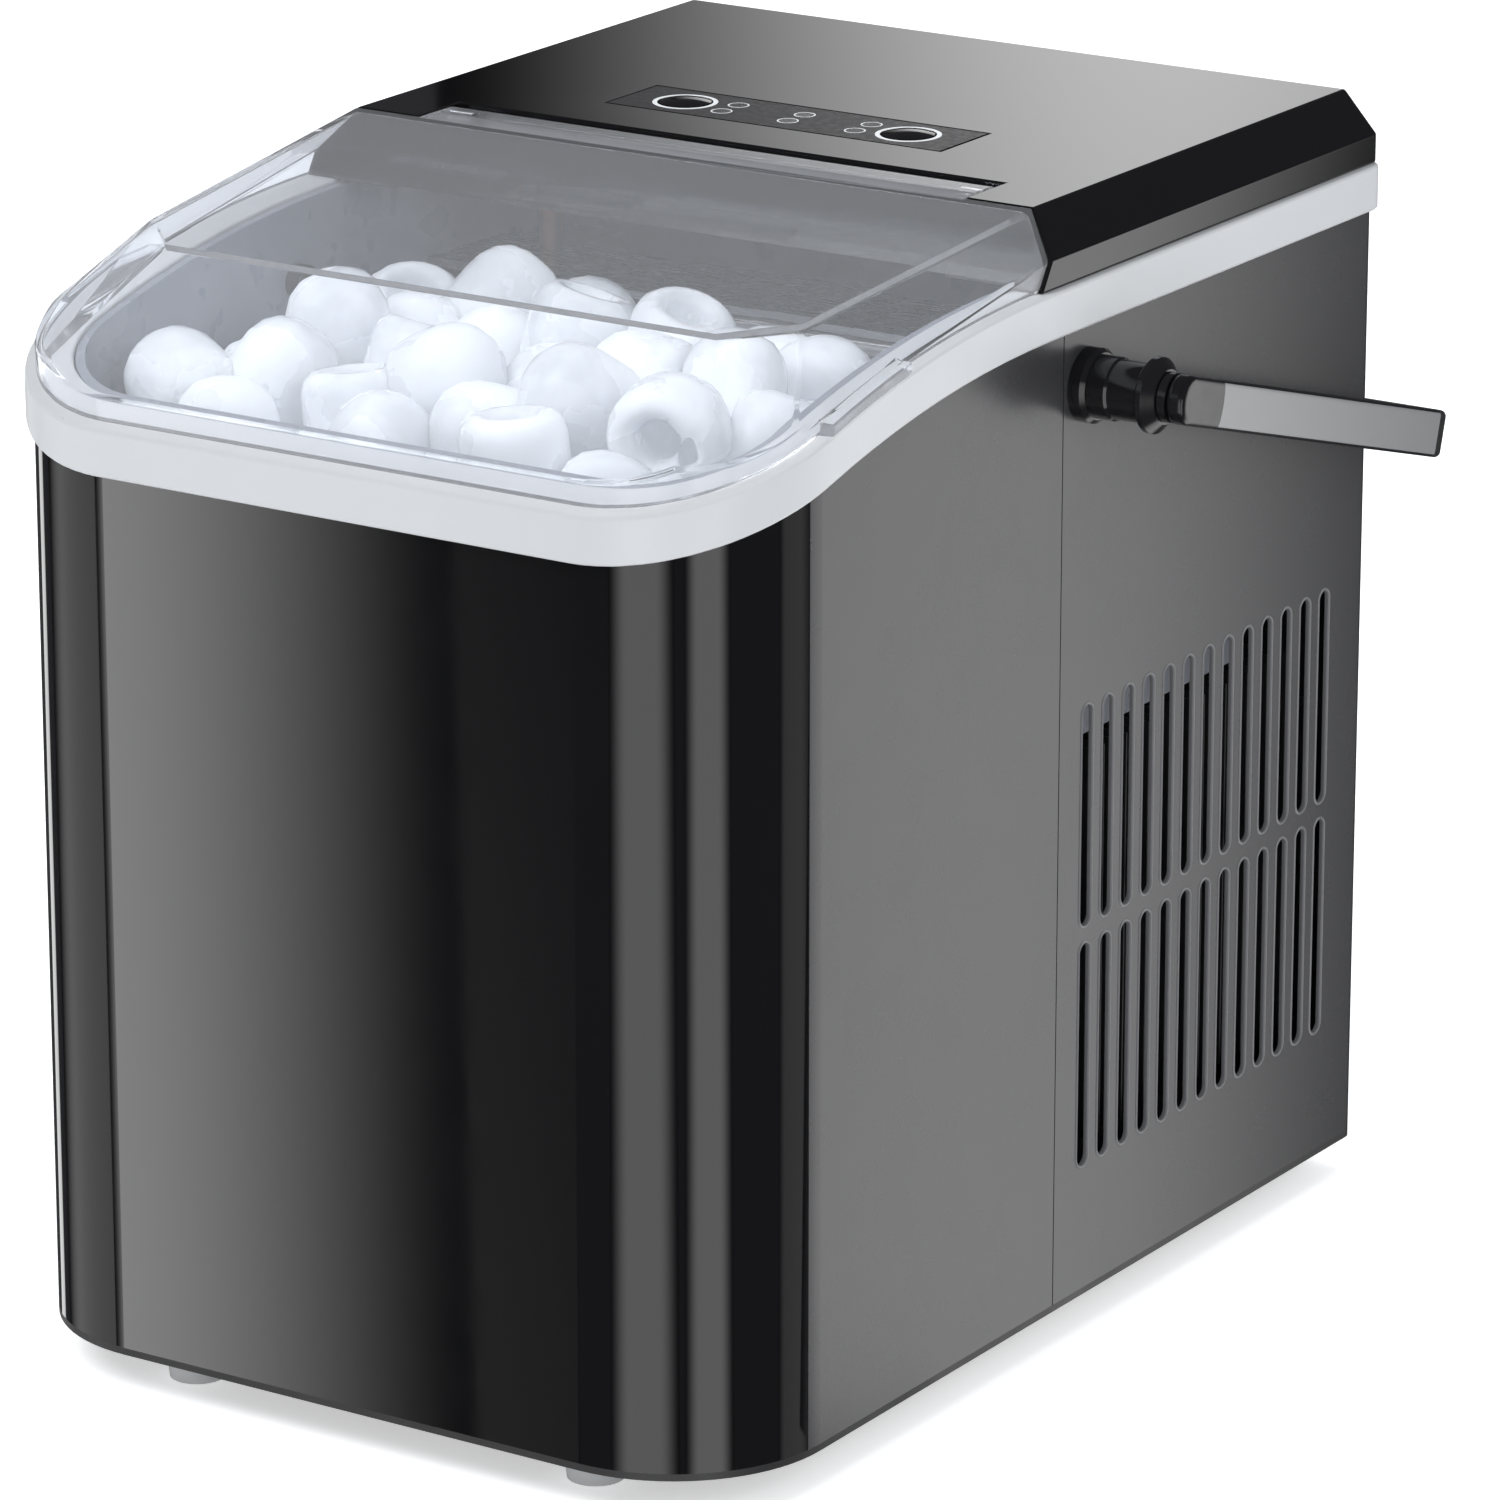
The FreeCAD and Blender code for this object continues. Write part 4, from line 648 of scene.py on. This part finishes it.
@dataclass
class IcePile:
    """Loose bullet ice heaped in the basket."""

    radius: float = 13.0 * MM
    profile: tuple[tuple[float, float], ...] = (
        (0.0, 13.5), (4.5, 13.1), (8.2, 11.6), (11.0, 8.6), (12.6, 4.5), (13.0, 0.0), (12.9, -7.4),
        (12.0, -10.4), (9.8, -12.4), (7.2, -12.5), (5.6, -10.0), (4.6, -3.0), (2.6, 0.5), (0.0, 1.4))
    steps: int = 20
    seed: int = 11
    count: int = 190
    rounds: int = 120
    heap: float = 60.0 * MM
    fall: float = 0.25 * MM
    spacing: float = 25.0 * MM
    spread: float = 4.0 * MM
    wall_gap: float = 3.0 * MM
    lid_gap: float = 12.0 * MM
    keep_clear: tuple[str, ...] = ("lid", "ice_sensor_left", "ice_sensor_right")
    leans: tuple[float, ...] = (0.1, 0.5, 0.9, 1.4, 1.6, 2.8)
    wobble: float = 0.3

    def bullet(self) -> bpy.types.Mesh:
        """Makes one bullet by spinning its outline."""
        bm = bmesh.new()
        verts = [bm.verts.new((r * MM, 0.0, z * MM)) for r, z in self.profile]
        edges = [bm.edges.new(pair) for pair in zip(verts, verts[1:])]
        bmesh.ops.spin(bm, geom=verts + edges, cent=(0, 0, 0), axis=(0, 0, 1), angle=math.tau,
                       steps=self.steps, use_merge=True)
        bmesh.ops.remove_doubles(bm, verts=bm.verts, dist=MERGE_DISTANCE)
        bmesh.ops.recalc_face_normals(bm, faces=bm.faces)
        mesh = bpy.data.meshes.new("bullet")
        bm.to_mesh(mesh)
        bm.free()
        return mesh

    def settle(self, rng: random.Random) -> list[Vector]:
        """Drops the bullets as balls and pushes them apart until they lie in a heap.

        Args:
            rng: Seeded random numbers.

        Returns:
            The bullets' middles in the row frame.
        """
        low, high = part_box("ice_basket")
        shell = bmesh.new()
        for node in self.keep_clear:
            shell.from_mesh(frame["nodes"][node].data)
        above = BVHTree.FromBMesh(shell)
        shell.free()
        wall = self.radius + self.wall_gap
        x0, x1 = low.x + wall, high.x - wall
        y0, y1 = low.y + wall, high.y - wall
        floor = low.z + wall
        balls = [Vector((rng.uniform(x0, x1), rng.uniform(y0, y1), rng.uniform(floor, high.z + self.heap)))
                 for _ in range(self.count)]
        for _ in range(self.rounds):
            for ball in balls:
                ball.z -= self.fall
            near = KDTree(len(balls))
            for i, ball in enumerate(balls):
                near.insert(ball, i)
            near.balance()
            for i, ball in enumerate(balls):
                for _, j, _ in near.find_range(ball, self.spacing):
                    gap = balls[j] - ball
                    if j > i and 0.0 < gap.length < self.spacing:
                        push = gap.normalized() * (self.spacing - gap.length) * 0.5
                        ball -= push
                        balls[j] += push
            for ball in balls:
                spread = self.spread if ball.z > high.z else 0.0
                ball.x = min(max(ball.x, x0 - spread), x1 + spread)
                ball.y = min(max(ball.y, y0 - spread), y1 + spread)
                ball.z = max(ball.z, floor)
                _, _, _, away = above.find_nearest(ball)
                if away < self.radius + self.lid_gap:
                    ball.z -= self.radius + self.lid_gap - away
        return balls

    def build(self) -> None:
        """Builds the heap as one piece on the basket."""
        rng = random.Random(self.seed)
        bullet = self.bullet()
        bm = bmesh.new()
        for spot in self.settle(rng):
            before = len(bm.verts)
            bm.from_mesh(bullet)
            bm.verts.ensure_lookup_table()
            lean = rng.choice(self.leans) + rng.uniform(-self.wobble, self.wobble)
            tilt = Matrix.Rotation(lean, 3, "X")
            turn = Matrix.Rotation(rng.uniform(0, math.tau), 3, "Z") @ tilt
            for vert in bm.verts[before:]:
                vert.co = turn @ vert.co + spot
        bpy.data.meshes.remove(bullet)
        add_object("ice_bullets", bm, FrostedIce(), "ice_basket")


@dataclass
class ControlPanel:
    """Printed overlay with rings round the buttons and lamps."""

    button_ring: tuple[float, float] = (7.1 * MM, 8.3 * MM)
    lamp_ring: tuple[float, float] = (2.35 * MM, 2.75 * MM)
    lamp_pitch: float = 19.7 * MM
    lamp_rows: tuple[float, float] = (-3.7 * MM, 4.1 * MM)

    def build(self) -> None:
        """Dresses the overlay."""
        rings = []
        low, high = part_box("control_label")
        middle = (low + high) / 2
        for node in ("power_button", "select_button"):
            a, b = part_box(node)
            rings.append(((a.x + b.x) / 2, (a.y + b.y) / 2, *self.button_ring))
        for column in (-1, 0, 1):
            for row in self.lamp_rows:
                rings.append((middle.x + column * self.lamp_pitch, middle.y + row, *self.lamp_ring))
        dress(frame["nodes"]["control_label"], PrintedLabel("control_overlay", tuple(rings)))


@dataclass
class Casing:
    """Panels, trim, cover and lid, softened where light runs along their edges."""

    def build(self) -> None:
        """Builds the softened casing pieces and dresses the rest."""
        SoftenedNode("trim_ring", TRIM_GREY, "trim_grey", 0.9 * MM).build()
        SoftenedNode("top_cover", COVER_BLACK, "gloss_black", 0.6 * MM).build()
        SoftenedNode("lid", LID_CLEAR, "clear_lid", 0.6 * MM).build()
        for node, finish in NODE_FINISHES.items():
            dress(frame["nodes"][node], finish)


@dataclass
class Handle:
    """Carry handle whose arms are pale on the flat, with painted shade on the edges, and dark at the pivot.
    """

    nose: float = 17.0 * MM

    def build(self) -> None:
        """Dresses both arms and the grip."""
        dress(frame["nodes"]["handle_grip"], HANDLE_DARK)
        low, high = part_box("handle_hub_right")
        pivot = (0.5 * (low.y + high.y), 0.5 * (low.z + high.z))
        finish = HandleArm("handle_arm_gloss", pivot, self.nose)
        for side in Side:
            dress(frame["nodes"][f"handle_arm_{side.name.lower()}"], finish)


# ------------------------------------------------------------------ stage
@dataclass
class Studio:
    """Pale floor, soft light, reflection cards and the camera."""

    azimuth: float = 33.07
    elevation: float = 17.46
    camera_at: Rgb = (1.0471, -1.58797, 0.7327)
    lens: float = 191.05
    floor_size: float = 30.0
    floor_glow: float = 0.5
    sky: Rgb = (0.62, 0.64, 0.66)
    sky_in_gloss: Rgb = (0.06, 0.06, 0.065)
    sky_seen: Rgb = (1.0, 1.0, 1.0)
    corner_radius: float = 41 * MM
    front_point: float = 26 * MM
    cover_point: float = 12 * MM
    side_point: tuple[float, float] = (-65 * MM, 50 * MM)

    def build(self) -> None:
        """Sets up everything that isn't the object."""
        self.camera()
        self.floor()
        self.world()
        self.lamps()
        self.cards()

    def camera(self) -> None:
        """Adds the camera at the viewing angle."""
        data = bpy.data.cameras.new("camera")
        data.lens = self.lens
        data.sensor_width = SENSOR
        data.clip_end = 50.0
        obj = bpy.data.objects.new("camera", data)
        obj.location = self.camera_at
        obj.rotation_euler = (math.radians(90.0 - self.elevation), 0.0, math.radians(self.azimuth))
        bpy.context.scene.collection.objects.link(obj)
        bpy.context.scene.camera = obj

    def floor(self) -> None:
        """Adds the pale floor."""
        bm = bmesh.new()
        bmesh.ops.create_grid(bm, x_segments=1, y_segments=1, size=self.floor_size)
        mesh = bpy.data.meshes.new("floor")
        bm.to_mesh(mesh)
        bm.free()
        obj = bpy.data.objects.new("floor", mesh)
        bpy.context.scene.collection.objects.link(obj)
        obj.visible_glossy = False
        dress(obj, FLOOR_PAPER)
        shader = obj.material_slots[0].material.node_tree.nodes["Principled BSDF"]
        shader.inputs["Emission Color"].default_value = (1.0, 1.0, 1.0, 1.0)
        shader.inputs["Emission Strength"].default_value = self.floor_glow

    def world(self) -> None:
        """Adds the plain soft sky, white to look at and dimmer in reflections."""
        world = bpy.data.worlds.new("studio")
        world.use_nodes = True
        bpy.context.scene.world = world
        tree = world.node_tree
        background = tree.nodes["Background"]
        path = tree.nodes.new("ShaderNodeLightPath")
        seen = mix_colour(tree, path.outputs["Is Camera Ray"], self.sky, self.sky_seen)
        shiny = math_node(tree, "MAXIMUM", path.outputs["Is Glossy Ray"],
                          path.outputs["Is Transmission Ray"])
        shine = tree.nodes.new("ShaderNodeMix")
        shine.data_type = "RGBA"
        tree.links.new(shiny, shine.inputs["Factor"])
        tree.links.new(seen, shine.inputs["A"])
        shine.inputs["B"].default_value = (*self.sky_in_gloss, 1.0)
        tree.links.new(shine.outputs["Result"], background.inputs["Color"])
        background.inputs["Strength"].default_value = 1.0

    def lamp(self, name: str, place: tuple[float, float, float], size: float, power: float,
             glossy: bool = True) -> None:
        """Adds a square soft lamp aimed at the machine.

        Args:
            name: The lamp's name.
            place: Where it hangs, in metres.
            size: Its side, in metres.
            power: Its power, in watts.
            glossy: Whether reflections show it.
        """
        data = bpy.data.lights.new(name, "AREA")
        data.size = size
        data.energy = power
        obj = bpy.data.objects.new(name, data)
        obj.location = place
        aim = Vector((0.0, 0.0, 0.15)) - Vector(place)
        obj.rotation_euler = aim.to_track_quat("-Z", "Y").to_euler()
        obj.visible_glossy = glossy
        bpy.context.scene.collection.objects.link(obj)

    def lamps(self) -> None:
        """Hangs the soft lamps."""
        self.lamp("key", (-0.9, -1.3, 1.9), 1.1, 22.0, glossy=False)
        self.lamp("fill", (1.6, -0.4, 1.1), 0.9, 8.0, glossy=False)
        self.lamp("top", (0.0, 0.3, 2.2), 1.4, 14.0, glossy=False)

    def card(self, name: str, point: Vector, direction: Vector, width: float, height: float,
             strength: float, soft: float = 1.0, distance: float = 1.5) -> None:
        """Adds a soft-edged card that only reflections show.

        Args:
            name: The card's name.
            point: The surface point that mirrors the card's middle.
            direction: The mirrored sight line.
            width: Its width, in metres.
            height: Its height, in metres.
            strength: Its brightness in the middle.
            soft: How far the fade reaches in from the edges, 0 to 1.
            distance: How far away it stands, in metres.
        """
        bm = bmesh.new()
        bmesh.ops.create_grid(bm, x_segments=1, y_segments=1, size=0.5, calc_uvs=True)
        mesh = bpy.data.meshes.new(name)
        bm.loops.layers.uv.verify()
        bmesh.ops.scale(bm, vec=(width, height, 1.0), verts=bm.verts)
        bm.to_mesh(mesh)
        bm.free()
        obj = bpy.data.objects.new(name, mesh)
        bpy.context.scene.collection.objects.link(obj)
        way = direction.normalized()
        obj.location = point + way * distance
        obj.rotation_euler = (-way).to_track_quat("Z", "Y").to_euler()
        for flag in ("visible_camera", "visible_diffuse", "visible_shadow", "visible_transmission",
                     "visible_volume_scatter"):
            setattr(obj, flag, False)
        mesh.materials.append(self.card_material(name, width, strength, soft))

    @staticmethod
    def card_material(name: str, width: float, strength: float, soft: float) -> bpy.types.Material:
        """Makes a card's light, fading towards its two sides.

        Args:
            name: The material's name.
            width: The card's width, in metres.
            strength: Brightness in the middle.
            soft: Share of the half width over which it fades.

        Returns:
            The material.
        """
        material = bpy.data.materials.new(name)
        material.use_nodes = True
        tree = material.node_tree
        tree.nodes.remove(tree.nodes["Principled BSDF"])
        glow = tree.nodes.new("ShaderNodeEmission")
        parts = tree.nodes.new("ShaderNodeSeparateXYZ")
        tree.links.new(tree.nodes.new("ShaderNodeTexCoord").outputs["Object"], parts.inputs[0])
        away = math_node(tree, "ABSOLUTE", parts.outputs["X"], 0.0)
        fade = map_range(tree, away, width / 2, width / 2 * (1.0 - soft), 0.0, strength)
        fade.node.interpolation_type = "SMOOTHSTEP"
        tree.links.new(fade, glow.inputs["Strength"])
        tree.links.new(glow.outputs[0], tree.nodes["Material Output"].inputs["Surface"])
        return material

    def mirrored(self, point: Vector, normal: Vector) -> Vector:
        """Direction in which a surface point mirrors the camera's sight line.

        Args:
            point: The point on the surface.
            normal: The surface's unit normal there.

        Returns:
            The mirrored direction.
        """
        sight = (point - Vector(self.camera_at)).normalized()
        return sight - 2.0 * sight.dot(normal) * normal

    def cards(self) -> None:
        """Places the reflection cards for the gloss panels, cover and sides."""
        low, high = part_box("front_wrap_panel")
        mid_z = 0.5 * (low.z + high.z)
        face = Vector((low.x + self.front_point, low.y, mid_z))
        self.card("card_front", face, self.mirrored(face, Vector((0, -1, 0))), 0.34, 1.6, 4.6)
        corner = Vector((high.x - self.corner_radius, low.y + self.corner_radius, mid_z))
        other = Vector((low.x + self.corner_radius, low.y + self.corner_radius, mid_z))
        drop = -math.tan(math.radians(self.elevation))
        strips = (("card_a", corner, 13.6, 1.16, 2.2, 0.6), ("card_b", corner, 56.5, 0.8, 2.3, 0.6),
                  ("card_c", corner, 118.0, 0.6, 0.5, 0.5), ("card_d", other, -113.0, 0.3, 2.0, 0.4),
                  ("card_e", other, -62.0, 2.0, 1.0, 0.6))
        for name, centre, turn, width, strength, soft in strips:
            a = math.radians(turn)
            self.card(name, centre, Vector((math.sin(a), -math.cos(a), drop)), width, 1.8, strength, soft)
        cover_low, cover_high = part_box("top_cover")
        top = Vector((cover_high.x - self.cover_point, 0.5 * (cover_low.y + cover_high.y), cover_high.z))
        self.card("card_top", top, self.mirrored(top, Vector((0, 0, 1))), 0.64, 0.34, 1.57)
        behind, above = self.side_point
        side = Vector((high.x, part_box("rear_shell")[0].y + behind, mid_z + above))
        self.card("card_side", side, self.mirrored(side, Vector((1, 0, 0))), 0.28, 0.4, 1.95, 0.75, 0.3)


def main() -> None:
    """Builds the machine's looks in order and reports each sub-assembly."""
    logging.basicConfig(level=logging.INFO, format="%(name)s %(message)s")
    for part in (Casing(), VentRims(), ControlPanel(), Handle(), IcePile(), Studio()):
        part.build()
        log.info("%s built", type(part).__name__)
    bpy.context.scene.view_settings.view_transform = "Standard"


if __name__ == "__main__":
    main()
